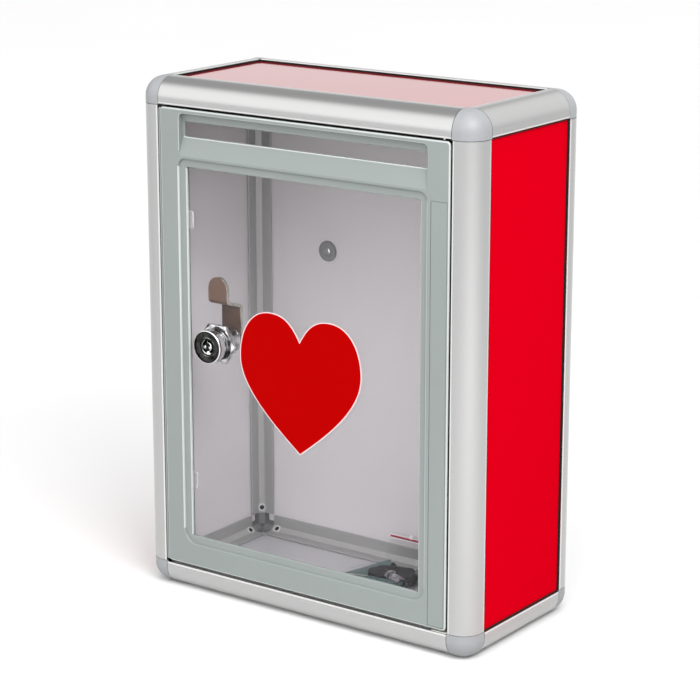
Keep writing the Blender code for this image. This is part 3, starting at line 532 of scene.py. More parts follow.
def rail_outline():
    """The extrusion's outside: rounded over its outer faces, a slot along each edge, a web across."""
    lip = INNER_FACE - RAIL_WALL
    side = [
        (LIP_END, RAIL_WALL),
        (SLOT_LINE, RAIL_WALL),
        (SLOT_LINE, lip),
        (RAIL_FACE, lip),
        (RAIL_FACE, INNER_FACE),
        (SLOT_LINE, INNER_FACE),
    ]
    corners = [(LIP_END - LIP_HIGHLIGHT_BAND, 0), (LIP_END, 0)] + side
    lower = soften([(RAIL_ROUND, 0), *corners, (INNER_FACE, SLOT_LINE)], 0.5, 3, closed=False)
    lower = lower[1:-1]
    upper = [(y, x) for x, y in reversed(lower)]
    outside = arc(RAIL_ROUND, RAIL_ROUND, RAIL_ROUND, 270, 180, 20)
    return lower + upper + outside[::-1]


def channel_outline(inset, steps=8):
    """The closed channel along the extrusion's corner, drawn smaller all round by inset."""
    radius = RAIL_ROUND - RAIL_WALL - inset
    side = SLOT_LINE - RAIL_WALL - inset
    web = SLOT_LINE + INNER_FACE - (RAIL_WALL + inset) * math.sqrt(2)
    reach = math.degrees(math.acos((RAIL_ROUND - side) / radius))
    outside = arc(RAIL_ROUND, RAIL_ROUND, radius, 180 + reach, 270 - reach, steps)
    return outside + [(web - side, side), (side, web - side)]


def along(axis, sides, distance, point):
    """A profile point, measured inwards from two outer faces, at a distance along the third axis."""
    made = [0.0, 0.0, 0.0]
    made[axis] = distance
    for k, value in zip(((axis + 1) % 3, (axis + 2) % 3), point):
        made[k] = value if sides[k] > 0 else SIZE[k] - value
    return made


def extrude(shape, axis, sides, outlines, start, end):
    loops = []
    for outline in outlines:
        ends = [ring(shape, [along(axis, sides, at, p) for p in outline]) for at in (start, end)]
        bridge(shape, *ends)
        loops.append(ends)
    for k in (0, 1):
        fill(shape, *[pair[k] for pair in loops])


def rail_zone(a, b):
    """0 for satin faces, 1 for slots and inner lips, 2 for each outer lip's corner, which gets a painted
    highlight, 3 for the web.
    """
    near, far = min(a, b), max(a, b)
    if near < 0.6 and far > LIP_END - LIP_HIGHLIGHT_BAND:
        return 2
    if abs(a + b - SLOT_LINE - INNER_FACE) < 0.05:
        return 3
    return 1 if near > RAIL_WALL - 0.3 and far > SLOT_LINE - 0.3 else 0


SIDES = {"left": (0, 1), "right": (0, -1), "front": (1, 1), "rear": (1, -1), "bottom": (2, 1), "top": (2, -1)}


def make_rails():
    outlines = [rail_outline(), channel_outline(0)]
    for first, second in (
        [(d, s) for d in ("front", "rear") for s in ("left", "right")]
        + [(l, d) for l in ("bottom", "top") for d in ("front", "rear")]
        + [(l, s) for l in ("bottom", "top") for s in ("left", "right")]
    ):
        sides = [0, 0, 0]
        for word in (first, second):
            axis, sign = SIDES[word]
            sides[axis] = sign
        axis = sides.index(0)
        node = f"{first}_{second}_{'post' if axis == 2 else 'rail'}"
        low, high = span(node)
        shape = bmesh.new()
        extrude(shape, axis, sides, outlines, low[axis], high[axis])
        across = [(axis + 1) % 3, (axis + 2) % 3]
        for face in shape.faces:
            middle = face.calc_center_median()
            inwards = [middle[k] if sides[k] > 0 else SIZE[k] - middle[k] for k in across]
            at_end = min(abs(middle[axis] - low[axis]), abs(middle[axis] - high[axis])) < 0.01
            face.material_index = 0 if at_end else rail_zone(*inwards)
        looks = [ALUMINIUM[axis], SLOT_SATIN[axis], LIP_PAINTED_HIGHLIGHT[axis], WEB_SATIN[axis]]
        piece(f"{node}_extrusion", shape, looks, "cabinet", node)


def connector_shape():
    """A three-way corner, drawn at the front left bottom: a rounded cap, a hub, an arm into each rail."""
    cap = bmesh.new()
    bmesh.ops.create_cube(cap, size=2 * RAIL_FACE)
    bmesh.ops.translate(cap, vec=(RAIL_FACE,) * 3, verts=cap.verts)
    bmesh.ops.bevel(cap, geom=cap.edges, offset=RAIL_ROUND, segments=16, profile=0.5, affect="EDGES")
    keep = bmesh.new()
    block(keep, (-RAIL_FACE,) * 3, (RAIL_FACE,) * 3, 0.01, 1)
    steps = [("INTERSECT", keep)]
    far = 2 * RAIL_FACE + 2
    bar = SLOT_LINE - GAP
    diagonal = SLOT_LINE + INNER_FACE - GAP * math.sqrt(2)
    reach = bar + 0.5
    wedge = [(reach, diagonal - reach), (reach, reach), (diagonal - reach, reach)]
    for axis in range(3):
        low = [bar] * 3
        low[axis] = RAIL_WALL
        window = bmesh.new()
        block(window, low, (far,) * 3, 0.01, 1)
        steps.append(("DIFFERENCE", window))
        trim = bmesh.new()
        extrude(trim, axis, (1, 1, 1), [wedge], bar, far)
        steps.append(("DIFFERENCE", trim))
    for axis in range(3):
        arm = bmesh.new()
        extrude(arm, axis, (1, 1, 1), [channel_outline(GAP)], RAIL_FACE - 5, RAIL_FACE + ARM_LENGTH)
        steps.append(("UNION", arm))
    shape = carve(cap, steps)
    for face in shape.faces:
        # Whatever lies under the cap's skin takes a darker grey: painted shade on the core.
        short = [max(RAIL_ROUND - value, 0) for value in face.calc_center_median()]
        face.material_index = 1 if RAIL_ROUND - math.hypot(*short) > 0.3 else 0
    return shape


def make_connectors():
    pattern = connector_shape()
    for level in ("bottom", "top"):
        for depth in ("front", "rear"):
            for side in ("left", "right"):
                signs = [SIDES[word][1] for word in (side, depth, level)]
                shape = pattern.copy()
                corner = [0 if sign > 0 else size for sign, size in zip(signs, SIZE)]
                move(shape, corner, Matrix.Diagonal((*signs, 1)))
                name = f"corner_{level}_{depth}_{side}"
                looks = [CORNER_GREY, CORE_PAINTED_SHADE]
                piece(f"{name}_connector", shape, looks, "cabinet", name, 40)
                make_corner_screws(name, signs)
    pattern.free()


SCREW_AT = 18.8  # from the carcass's outer face, along each rail


def make_corner_screws(corner, signs):
    """A small dark screw with a bright seat, through each rail's web into the connector's arm."""
    middle = (SLOT_LINE + INNER_FACE) / 2
    for axis in range(3):
        distance = SCREW_AT if signs[axis] > 0 else SIZE[axis] - SCREW_AT
        place = Vector(along(axis, signs, distance, (middle, middle)))
        inwards = Vector(signs)
        inwards[axis] = 0
        turn = inwards.to_track_quat("-Y", "Z").to_matrix().to_4x4()
        shape = screw_head(1.45, 0.8, 0.55)
        pad = bmesh.new()
        lathe(pad, [(1.5, -0.2), (2.5, -0.2), (2.5, 0.3), (2.3, 0.45), (1.5, 0.45)], 24)
        join(shape, pad, 1)
        move(shape, place, turn)
        name = f"{corner}_screw_{'xyz'[axis]}"
        piece(name, shape, [BLACK, SCREW_SEAT], "cabinet")


def screw_head(radius, height, depth, shank=0.0, shank_radius=0.0):
    """A pan head that faces forward, with its seat at 0, a cross recess and an optional shank."""
    shape = bmesh.new()
    angles = [math.radians(8 + 82 * i / 6) for i in range(7)]
    top = [(radius * math.cos(a), height * math.sin(a) ** 0.8) for a in angles]
    end, neck = -max(shank, 0.3), max(shank_radius, 0.5 * radius)
    profile = [(0, end), (neck, end), (neck, 0), (radius, 0)]
    profile += top[:-1] + [(0, height)]
    lathe(shape, profile, 20)
    steps = []
    for turn in (0, 90):
        bar = bmesh.new()
        long, wide = 1.1 * radius, 0.22 * radius
        block(bar, (-long / 2, -height - 0.5, -wide / 2), (long / 2, -height + depth, wide / 2), 0.01, 1)
        bmesh.ops.rotate(bar, matrix=Matrix.Rotation(math.radians(turn), 3, "Y"), verts=bar.verts)
        steps.append(("DIFFERENCE", bar))
    return carve(shape, steps)


def make_panels():
    """Sheets in the extrusion's slots. The sides and top are red outside and pale inside, but the top's
    underside is darkened: painted shade.
    """
    for node in ("left_panel", "right_panel", "top_panel"):
        low, high = span(node)
        axis = min(range(3), key=lambda k: high[k] - low[k])
        outward = 1 if low[axis] > SIZE[axis] / 2 else -1
        shape = bmesh.new()
        block(shape, low, high, 0.25)
        bmesh.ops.recalc_face_normals(shape, faces=shape.faces)
        for face in shape.faces:
            face.material_index = 0 if face.normal[axis] * outward > 0.9 else 1
            # The top sheet's underside takes the darkened copy: painted shade.
            if axis == 2 and face.normal.z < -0.9:
                face.material_index = 2
        film = TOP_FILM_PAINTED_SHADE if axis == 2 else RED_FILM
        piece(f"{node}_sheet", shape, [film, SHEET_CORE, CEILING_PAINTED_SHADE], "cabinet", node)
        make_slot_shade_strip(node, axis, outward)
    low, high = span("bottom_panel")
    shape = bmesh.new()
    block(shape, low, high, 0.25)
    piece("bottom_panel_sheet", shape, BASE_SHEET_PAINTED_SHADE, "cabinet", "bottom_panel")
    low, high = span("back_panel")
    shape = bmesh.new()
    holes = []
    for side in ("left", "right"):
        a, b = span(f"wall_grommet_{side}")
        middle = (a + b) / 2
        holes.append(arc(middle.x, middle.z, 4.3, 0, 348, 29))
    outer = loft(shape, [(rounded(low.x, low.z, high.x, high.z, 0.5, 0, 2), y) for y in (low.y, high.y)])
    inner = [loft(shape, [(hole, y) for y in (low.y, high.y)]) for hole in holes]
    for k in (0, 1):
        fill(shape, outer[k], *[pair[k] for pair in inner])
    piece("back_panel_sheet", shape, SHEET_CORE, "cabinet", "back_panel")


def make_slot_shade_strip(node, axis, outward):
    """A black strip on the sheet's outer face, all round against the rails' lips: painted shade for the
    shadow in the slots under them.
    """
    across = [k for k in range(3) if k != axis]
    lows = [RAIL_FACE + 0.02] * 2
    highs = [SIZE[k] - RAIL_FACE - 0.02 for k in across]
    shape = bmesh.new()
    loops = []
    for inset, depth in ((0, 1.48), (0, 0.6), (0.1, 0.5), (0.3, 0.5), (0.4, 0.6), (0.4, 1.48)):
        corners = rounded(lows[0], lows[1], highs[0], highs[1], 0.2 - inset * 0.1, -inset, 2)
        loop = []
        for corner in corners:
            place = [0.0, 0.0, 0.0]
            place[axis] = SIZE[axis] - depth if outward > 0 else depth
            for k, value in zip(across, corner):
                place[k] = value
            loop.append(place)
        loops.append(ring(shape, loop))
    for one, other in zip(loops, loops[1:] + loops[:1]):
        bridge(shape, one, other)
    piece(f"{node}_slot_shade_strip", shape, GAP_SHADE_BLACK, "cabinet")


def make_grommets():
    for side in ("left", "right"):
        node = f"wall_grommet_{side}"
        low, high = span(node)
        front, seat, back = low.y, low.y + 1.5, high.y
        radius, barrel, bore = (high.x - low.x) / 2, 4.05, 2.1
        profile = [(bore, -back), (bore, -front - 0.5)]
        profile += [(bore + 0.6, -front - 0.2), (bore + 1.4, -front - 0.35)]
        profile += arc(radius - 1.3, -front - 1.2, 1.2, 100, 0, 6)
        profile += [(radius, -seat), (barrel, -seat), (barrel, -back)]
        shape = bmesh.new()
        lathe(shape, profile, 40)
        middle = (low + high) / 2
        move(shape, (middle.x, 0, middle.z))
        piece(f"{node}_bush", shape, CORNER_GREY, "cabinet", node)


def make_small_nylon():
    for level in ("lower", "upper"):
        node = f"hinge_bush_{level}"
        shape = bmesh.new()
        block(shape, *span(node), 0.3)
        piece(f"{node}_block", shape, NYLON, "cabinet", node)
        node = f"door_stop_{level}"
        low, high = span(node)
        # An angle: a foot behind the post's lip, and a tab behind the door's edge.
        foot, tab = RAIL_FACE - GAP, high.y - 1.8
        outline = [(low.x, low.y), (foot, low.y), (foot, tab)]
        outline += [(high.x, tab), (high.x, high.y), (low.x, high.y)]
        shape = bmesh.new()
        extrude(shape, 2, (1, 1, 1), [soften(outline, 0.35, 3)], low.z, high.z)
        piece(f"{node}_angle", shape, NYLON, "cabinet", node)


# ---------------------------------------------------------------- door

DOOR_LOW, DOOR_HIGH = span("door_frame")
PANE_LOW, PANE_HIGH = span("window_pane")
WINDOW = (
    PANE_LOW.x + PANE_OVERLAP - 0.8,  # the frame covers a little less of the pane on the lock's side
    PANE_LOW.z + PANE_OVERLAP,
    PANE_HIGH.x - PANE_OVERLAP,
    PANE_HIGH.z - PANE_OVERLAP,
)
RAMP_DEPTH = 3.7  # how far back the surround has sunk at the opening
STRIP = span("hinge_cover_strip")


def window_outline(grow=0.0):
    return rounded(*WINDOW, 0.5, grow)


def rim_outline(grow=0.0):
    x0, z0, x1, z1 = WINDOW
    radii = (RIM_BOTTOM_RADIUS, RIM_TOP_RADIUS)
    return rounded(x0 - RIM_LEFT, z0 - RIM_LOW, x1 + RIM_RIGHT, z1 + RIM_HIGH, radii, grow)


def slot_loop(box, radius, grow=0.0, steps=6):
    """A rounded rectangle with points on its short sides at the slot's lower and upper edges."""
    x0, z0, x1, z1 = box
    r = radius + grow
    x0, z0, x1, z1 = x0 - grow, z0 - grow, x1 + grow, z1 + grow
    low = max(SLOT[1] + 0.1, z0 + r + 0.05)
    high = min(SLOT[3] - 0.1, z1 - r - 0.05)
    return (
        arc(x1 - r, z0 + r, r, -90, 0, steps)
        + [(x1, low), (x1, high)]
        + arc(x1 - r, z1 - r, r, 0, 90, steps)
        + arc(x0 + r, z1 - r, r, 90, 180, steps)
        + [(x0, high), (x0, low)]
        + arc(x0 + r, z0 + r, r, 180, 270, steps)
    )


def slot_surface(x, z):
    """Depth of the deposit slot's surround: a ramp up from below, and a recess under an overhang above."""
    front = DOOR_LOW.y
    if z < SLOT[1]:
        share = max(z - RAMP[1], 0) / (SLOT[1] - RAMP[1])
        return front + (RAMP_DEPTH - front) * share
    if z > SLOT[3]:
        share = min((z - SLOT[3]) / (RAMP[3] - SLOT[3]), 1)
        return RAMP_DEPTH - 0.5 * share**2
    return RAMP_DEPTH


def slot_stations():
    front, back = DOOR_LOW.y, DOOR_HIGH.y
    soft = 0.25
    for i in range(4):
        a = math.pi / 2 * i / 3
        dip = front + soft * (1 - math.cos(a))
        yield (
            slot_loop(RAMP, 3, soft * (1 - math.sin(a))),
            lambda x, z, dip=dip: min(dip, max(slot_surface(x, z), front)),
        )
    yield slot_loop(RAMP, 3, 0), slot_surface
    for i in range(4):
        a = math.pi / 2 * i / 3
        yield slot_loop(SLOT, 0.8, 0.55 * (1 - math.sin(a))), RAMP_DEPTH + 0.55 * (1 - math.cos(a))
    hollow = (SLOT[0] - 4, SLOT[1] - 0.8, SLOT[2] + 4, SLOT[3] + 0.8)
    skin = RAMP_DEPTH + 1.8
    yield slot_loop(SLOT, 0.8, 0), skin
    yield slot_loop(hollow, 1.5, 0), skin
    yield slot_loop(hollow, 1.5, 0), back - 0.3
    yield slot_loop(hollow, 1.5, 0.3), back


def clip_names():
    for side in ("left", "right"):
        for level in ("lower", "upper"):
            yield f"{side}_{level}"


def clip_ledge(grow):
    """The pane's pocket at the door's back, with a seat let in beside it for each clip."""
    room = GAP + grow
    x0, z0, x1, z1 = PANE_LOW.x - room, PANE_LOW.z - room, PANE_HIGH.x + room, PANE_HIGH.z + room
    seats = {name: span(f"pane_clip_{name}") for name in clip_names()}
    points = [(x0, z0), (x1, z0)]
    for name in ("right_lower", "right_upper"):
        low, high = seats[name]
        end = high.x + 2 * GAP
        points += [(x1, low.z - GAP), (end, low.z - GAP), (end, high.z + GAP), (x1, high.z + GAP)]
    points += [(x1, z1), (x0, z1)]
    for name in ("left_upper", "left_lower"):
        low, high = seats[name]
        end = low.x - 2 * GAP
        points += [(x0, high.z + GAP), (end, high.z + GAP), (end, low.z - GAP), (x0, low.z - GAP)]
    return points


def back_hollows():
    """(x0, z0, x1, z1, floor) of each hollow between the ribs of the door's back."""
    skin = DOOR_LOW.y + 2.4
    wall, boss = 2, 8
    x0, x1 = DOOR_LOW.x + wall, DOOR_HIGH.x - wall
    z0 = DOOR_LOW.z + wall
    left, right = WINDOW[0] - PANE_OVERLAP - GAP - wall, WINDOW[2] + PANE_OVERLAP + GAP + wall
    clips = [span(f"pane_clip_left_{level}") for level in ("lower", "upper")]
    lower, upper = [(low.z + high.z) / 2 for low, high in clips]
    spans = [(z0, lower - boss), (lower + boss, upper - boss), (upper + boss, PANE_HIGH.z)]
    hinge_room = 10  # stays solid above the lower hinge pin
    for low, high in spans:
        middle = (low + high) / 2
        # A rib halfway up each hollow stiffens the stile.
        for a, b in ((low, middle - 1), (middle + 1, high)):
            yield x0, a, left, b, skin
            yield right, a + (hinge_room if a == z0 else 0), x1, b, skin
    bays = 3
    bay = (WINDOW[2] - WINDOW[0] - wall * (bays - 1)) / bays
    for i in range(bays):
        start = WINDOW[0] + i * (bay + wall)
        yield start, z0, start + bay, PANE_LOW.z - GAP - wall, skin
        yield start, PANE_HIGH.z + GAP + wall, start + bay, SLOT[1] - wall - 0.4, RAMP_DEPTH + 2


def door_outline(grow):
    return rounded(DOOR_LOW.x, DOOR_LOW.z, DOOR_HIGH.x, DOOR_HIGH.z, DOOR_CORNER, grow)


def make_door_frame():
    front, back = DOOR_LOW.y, DOOR_HIGH.y
    shape = bmesh.new()

    # Zone 1 takes the lighter copy of the door plastic on round edges and the slot's rims: painted highlight.
    def edge_zone(band, x, z):
        return 1 if band < 4 else 0

    def window_zone(band, x, z):
        # The radii up the window's sides take the lighter, glossier copy of the plastic: painted highlight.
        return 1 if band != 4 and WINDOW[1] + 3 < z < WINDOW[3] - 2 else 0

    def slot_zone(band, x, z):
        at_end = x < SLOT[0] or x > SLOT[2]
        if band < 3:
            return 1 if (at_end and z > RAMP[1] + 4) or z > RAMP[3] - 0.5 else 0
        return 1 if 4 < band < 8 and z < SLOT[1] + 0.2 else 0

    stations = list(edge(door_outline, -1, front, 1, 0.8, 4))
    stations += list(edge(door_outline, -1, back, -1, 0.4))[::-1]
    shell = loft(shape, stations, edge_zone)
    pane_seat = PANE_LOW.y - GAP
    window = loft(
        shape,
        list(edge(rim_outline, 1, front, 1, 0.6))
        + [(rim_outline(-0.05), front + 1.3)]
        + list(edge(window_outline, 1, 1.75, 1, 0.45))
        + [(window_outline(), pane_seat)],
        window_zone,
    )
    slot = loft(shape, slot_stations(), slot_zone)
    strip_low, strip_high = STRIP

    def strip(grow):
        x0, x1 = strip_low.x - 0.25, strip_high.x + 0.25
        return rounded(x0, strip_low.z + 1.2, x1, strip_high.z + 0.25, 0.5, grow, 2)

    strip_rim = loft(shape, [(strip(0), front), (strip(0), front + 0.5)])
    fill(shape, strip_rim[1])
    fill(shape, shell[0], window[0], slot[0], strip_rim[0])

    ledge = loft(shape, [(clip_ledge(0.3), back), (clip_ledge(0.3), PANE_HIGH.y)])
    seat = rounded(PANE_LOW.x - GAP, PANE_LOW.z - GAP, PANE_HIGH.x + GAP, PANE_HIGH.z + GAP, 0.4)
    pane_walls = loft(shape, [(seat, PANE_HIGH.y), (seat, pane_seat)])
    fill(shape, ledge[1], pane_walls[0])
    fill(shape, pane_walls[1], window[-1])
    rims = []
    for x0, z0, x1, z1, floor in back_hollows():
        rims.append(pocket(shape, lambda g, b=(x0, z0, x1, z1): rounded(*b, 1, g, 3), back, floor))
    fill(shape, shell[-1], ledge[0], slot[-1], *rims)
    piece("door_moulding", shape, [DOOR_GREY, DOOR_EDGE_PAINTED_HIGHLIGHT], "door", "door_frame")


def make_door_gap_strip():
    """A strip round the door's edge: black, painted shade for the gap round the door, but grey where it
    stands out further, along the lock's edge.
    """
    front = DOOR_LOW.y
    shape = bmesh.new()

    def at_lock(x):
        return x < DOOR_LOW.x + 0.5

    def gap_strip(grow):
        return [(x - GAP_STRIP_SWELL * grow if at_lock(x) else x, z) for x, z in door_outline(grow)]

    def gap_strip_front(x, z):
        return front + (0.35 if at_lock(x) else 0.9)

    near, far = 0.02, 0.3
    gap_strip_back = front + 4
    stations = [(gap_strip(near), gap_strip_front), (gap_strip(far), gap_strip_front)]
    stations += [(gap_strip(far), gap_strip_back), (gap_strip(near), gap_strip_back)]
    rings = loft(shape, stations, lambda band, x, z: 1 if at_lock(x) else 0)
    bridge(shape, rings[-1], rings[0])
    piece("door_edge_gap_strip", shape, [GAP_SHADE_BLACK, DOOR_GREY], "door")


def make_cover_strip():
    low, high = STRIP
    shape = bmesh.new()

    def cover(grow):
        return rounded(low.x, low.z + 1.4, high.x, high.z, 0.4, grow, 2)

    prism(shape, cover, low.y, high.y, 0.1)
    piece("hinge_cover_strip_moulded", shape, DOOR_GREY, "door", "hinge_cover_strip")


def lock_axis():
    low, high = span("lock_housing")
    return (low.x + high.x) / 2, (low.z + high.z) / 2


LOCK_X, LOCK_Z = lock_axis()


def make_glazing():
    shape = bmesh.new()

    def sheet(grow):
        return rounded(PANE_LOW.x, PANE_LOW.z, PANE_HIGH.x, PANE_HIGH.z, 0.5, grow, 2)

    def hole(grow):
        return arc(LOCK_X, LOCK_Z, 8.3 + grow, 0, 352.5, 47)

    loops = []
    for outline, side in ((sheet, -1), (hole, 1)):
        stations = list(edge(outline, side, PANE_LOW.y, 1, 0.2, 1))
        stations += list(edge(outline, side, PANE_HIGH.y, -1, 0.2, 1))[::-1]
        loops.append(loft(shape, stations))
    for k in (0, -1):
        fill(shape, loops[0][k], loops[1][k])
    piece("window_glazing", shape, ACRYLIC, "door", "window_pane")


def make_heart():
    low, high = span("heart_sticker")
    half, height = (high.x - low.x) / 2, high.z - low.z
    middle = (low.x + high.x) / 2
    # One half of the heart, as shares of its half width and its height, up to the notch at the top.
    notch = (0, 0.815)
    right = bezier((0, 0), (0.42, 0.17), (1, 0.41), (1, 0.65), 20)
    right += bezier((1, 0.65), (1, 0.83), (0.83, 1), (0.49, 1), 14)
    right += bezier((0.49, 1), (0.24, 1), (0.12, 0.93), notch, 12)
    outline = right + [notch] + [(-x, z) for x, z in reversed(right[1:])]
    points = [(middle + x * half, low.z + z * height) for x, z in outline]
    shape = bmesh.new()
    rings = loft(shape, [(points, low.y + 0.05), (points, high.y)])
    centre = Vector((middle, 0, low.z + 0.55 * height))
    shrunk = [(x + (centre.x - x) * 0.002, z + (centre.z - z) * 0.002) for x, z in points]
    face = loft(shape, [(shrunk, low.y)])[0]
    bridge(shape, face, rings[0])
    fill(shape, face)
    fill(shape, rings[1])
    piece("heart_decal", shape, VINYL, "door", "heart_sticker")
    half_rim = []
    for before, here, after in zip(right, right[1:], right[2:] + [notch]):
        place = Vector((here[0] * half, here[1] * height))
        ahead = Vector(((after[0] - before[0]) * half, (after[1] - before[1]) * height)).normalized()
        moved = place + Vector((ahead.y, -ahead.x)) * HEART_RIM
        if moved.x > 0.3:
            half_rim.append(moved)
    rim = [(0, -1.3 * HEART_RIM)] + [(p.x, p.y) for p in half_rim]
    rim += [(0, notch[1] * height + 1.9 * HEART_RIM)] + [(-p.x, p.y) for p in reversed(half_rim)]
    rim = [(middle + x, low.z + z) for x, z in rim]
    shape = bmesh.new()
    depths = (low.y + 0.04, high.y)
    rings = [loft(shape, [(loop, y) for y in depths]) for loop in (rim, points)]
    for k in (0, 1):
        fill(shape, rings[0][k], rings[1][k])
    piece("heart_decal_rim", shape, VINYL_RIM, "door")


def make_clips():
    for name in clip_names():
        node = f"pane_clip_{name}"
        low, high = span(node)
        shape = bmesh.new()
        prism(shape, lambda g: rounded(low.x, low.z, high.x, high.z, 1.2, g, 4), low.y, high.y, 0.25)
        piece(f"{node}_plate", shape, CLIP_GREY, "door", node)
        node = f"clip_screw_{name}"
        low, high = span(node)
        middle = (low + high) / 2
        seat = high.y - 1.6
        shape = screw_head(2.5, 1.6, 0.9, seat - low.y, 1.25)
        move(shape, (middle.x, seat, middle.z), Matrix.Rotation(math.pi, 4, "Z"))
        piece(f"{node}_pan_head", shape, SCREW_STEEL, "door", node)


def make_hinge_pins():
    for level in ("lower", "upper"):
        node = f"hinge_pin_{level}"
        low, high = span(node)
        middle, radius = (low + high) / 2, (high.x - low.x) / 2
        tall = high.z - low.z
        soft = 0.3
        profile = [(0, 0), (radius - soft, 0), (radius, soft)]
        profile += [(radius, tall - soft), (radius - soft, tall), (0, tall)]
        shape = bmesh.new()
        lathe(shape, profile, 24)
        move(shape, (middle.x, middle.y, low.z), Matrix.Rotation(-math.pi / 2, 4, "X"))
        piece(f"{node}_rod", shape, SCREW_STEEL, "door", node)


# ---------------------------------------------------------------- lock


def thread(radius, depth, pitch, start, end):
    """A profile of rings that reads as a fine thread, from start back to end."""
    points = []
    at = start
    while at - pitch > end:
        points += [(radius, at), (radius, at - 0.15 * pitch), (radius - depth, at - 0.5 * pitch)]
        points += [(radius - depth, at - 0.6 * pitch)]
        at -= pitch
    return points + [(radius, at), (radius, end)]


def make_lock():
    low, high = span("lock_housing")
    face, end = -low.y, -high.y
    head, body, bore, dish = (high.x - low.x) / 2, 8.0, 5.45, 8.65
    seat = -(PANE_LOW.y - GAP)
    profile = [(bore, face - 0.6), (dish, face - 0.6), (dish, face - 0.12), (dish + 0.15, face)]
    dish_faces = 2
    profile += arc(head - 0.7, face - 0.7, 0.7, 90, 0, 6)
    groove = len(profile)
    profile += [(head, face - 0.8), (head - 0.4, face - 0.9), (head - 0.4, face - 1.35), (head, face - 1.45)]
    profile += [(head, seat + 0.3), (head - 0.3, seat), (body, seat), (body, -PANE_HIGH.y)]
    profile += thread(body, 0.3, 1.0, -PANE_HIGH.y - 0.4, end + 2.2)
    profile += [(body, end + 2.1), (body - 0.35, end + 1.6), (body, end + 1.1)]
    profile += [(body, end + 0.4), (body - 0.4, end), (bore, end)]
    shape = bmesh.new()

    def lock_zone(index):
        """0 for the chrome barrel, 1 for black lines beside the bezel, painted shade in its groove and at the
        dish's edge, 2 for the dish, 3 for the bezel, a lighter copy of the chrome as a painted highlight.
        """
        if index < dish_faces:
            return 2
        if index < groove + 3:
            return 3 if dish_faces + 2 < index < groove else 1
        return 3 if index == groove + 3 else 0

    lathe(shape, profile, 72, lock_zone)
    for vertex in shape.verts:
        if vertex.co.y > PANE_HIGH.y + 0.05:
            vertex.co.x = max(-6.9, min(6.9, vertex.co.x))
    move(shape, (LOCK_X, 0, LOCK_Z))
    looks = [CHROME_PAINTED_REFLECTIONS, BLACK, DARK_CHROME_PAINTED_REFLECTIONS, BEZEL_PAINTED_HIGHLIGHT]
    piece("lock_body", shape, looks, "door", "lock_housing", 40)
    make_nut()
    make_plug()
    make_cam()


def make_nut():
    low, high = span("lock_nut")
    flat = (high.x - low.x) / 2
    shape = bmesh.new()
    count = 72
    chamfer = math.tan(math.radians(30))
    circle = 0.985 * flat  # where the chamfer starts
    rings = []
    for y, inwards in ((low.y, 1), (high.y, -1)):
        for kind in ("bore", "bore_edge", "circle", "corner"):
            loop = []
            for i in range(count):
                a = 2 * math.pi * i / count
                # Six flats, with a corner at the top.
                off = a % (math.pi / 3) - math.pi / 6
                hexagon = flat / math.cos(off)
                radius, drop = {
                    "bore": (8.15, 0.4),
                    "bore_edge": (8.6, 0),
                    "circle": (circle, 0),
                    "corner": (hexagon, (hexagon - circle) * chamfer),
                }[kind]
                loop.append((radius * math.cos(a), y + inwards * drop, radius * math.sin(a)))
            rings.append(ring(shape, loop))
    front, back = rings[:4], rings[4:]
    for side in (front, back):
        for one, other in zip(side, side[1:]):
            bridge(shape, one, other)
    bridge(shape, front[3], back[3])
    bridge(shape, front[0], back[0])
    move(shape, (LOCK_X, 0, LOCK_Z))
    piece("lock_hex_nut", shape, CHROME_PAINTED_REFLECTIONS, "door", "lock_nut", 25)


def make_plug():
    low, high = span("lock_plug")
    face, end = -low.y, -high.y
    radius, keyway_out, keyway_in = 5.35, 4.0, 2.6
    shoulder = -(span("lock_housing")[1].y + GAP)
    profile = [(0, face + 0.1), (0.9, face + 0.1), (1.2, face - 0.3), (keyway_in - 0.2, face - 0.3)]
    profile += [(keyway_in, face - 0.5), (keyway_in, face - 5), (keyway_out, face - 5)]
    profile += [(keyway_out, face - 0.2), (keyway_out + 0.2, face), (radius - 0.2, face)]
    profile += [(radius, face - 0.2), (radius, shoulder), (0, shoulder)]
    shape = bmesh.new()
    lathe(shape, profile, 56, lambda index: 1 if index in (3, 7, 9) else 0)
    # Three bright studs stand proud of the face.
    for x, z in ((-1.9, -0.2), (2.0, -0.2), (0.2, -3.5)):
        stud = bmesh.new()
        lathe(stud, [(0, -4), (1.05, -4), (1.05, 0), (0.8, 0.3), (0, 0.45)], 16)
        move(stud, (x, -face, z))
        join(shape, stud, 1)
    # Seven pin heads lie deep in the ring-shaped keyway.
    for i in range(7):
        a = 2 * math.pi * (i + 0.5) / 7
        pin = bmesh.new()
        lathe(pin, [(0, -0.4), (0.42, -0.4), (0.42, 0), (0.2, 0.15), (0, 0.15)], 10)
        middle = (keyway_in + keyway_out) / 2
        move(pin, (middle * math.cos(a), -face + 2.2, middle * math.sin(a)))
        join(shape, pin, 1)
    tail = bmesh.new()
    half = 2.8
    block(tail, (-half, -shoulder - 0.5, -half), (half, -end, half), 0.2)
    join(shape, tail, 0)
    move(shape, (LOCK_X, 0, LOCK_Z))
    piece("key_plug", shape, [BLACK, CHROME_PAINTED_REFLECTIONS], "lock_rotor", "lock_plug")


def join(shape, other, material):
    """Adds another shape's faces to a shape, with one material."""
    copies = {vertex: shape.verts.new(vertex.co) for vertex in other.verts}
    for face in other.faces:
        made = shape.faces.new([copies[v] for v in face.verts])
        made.material_index = material
    other.free()


CAM_BEND = 2.3  # how much each corner of the crank is rounded


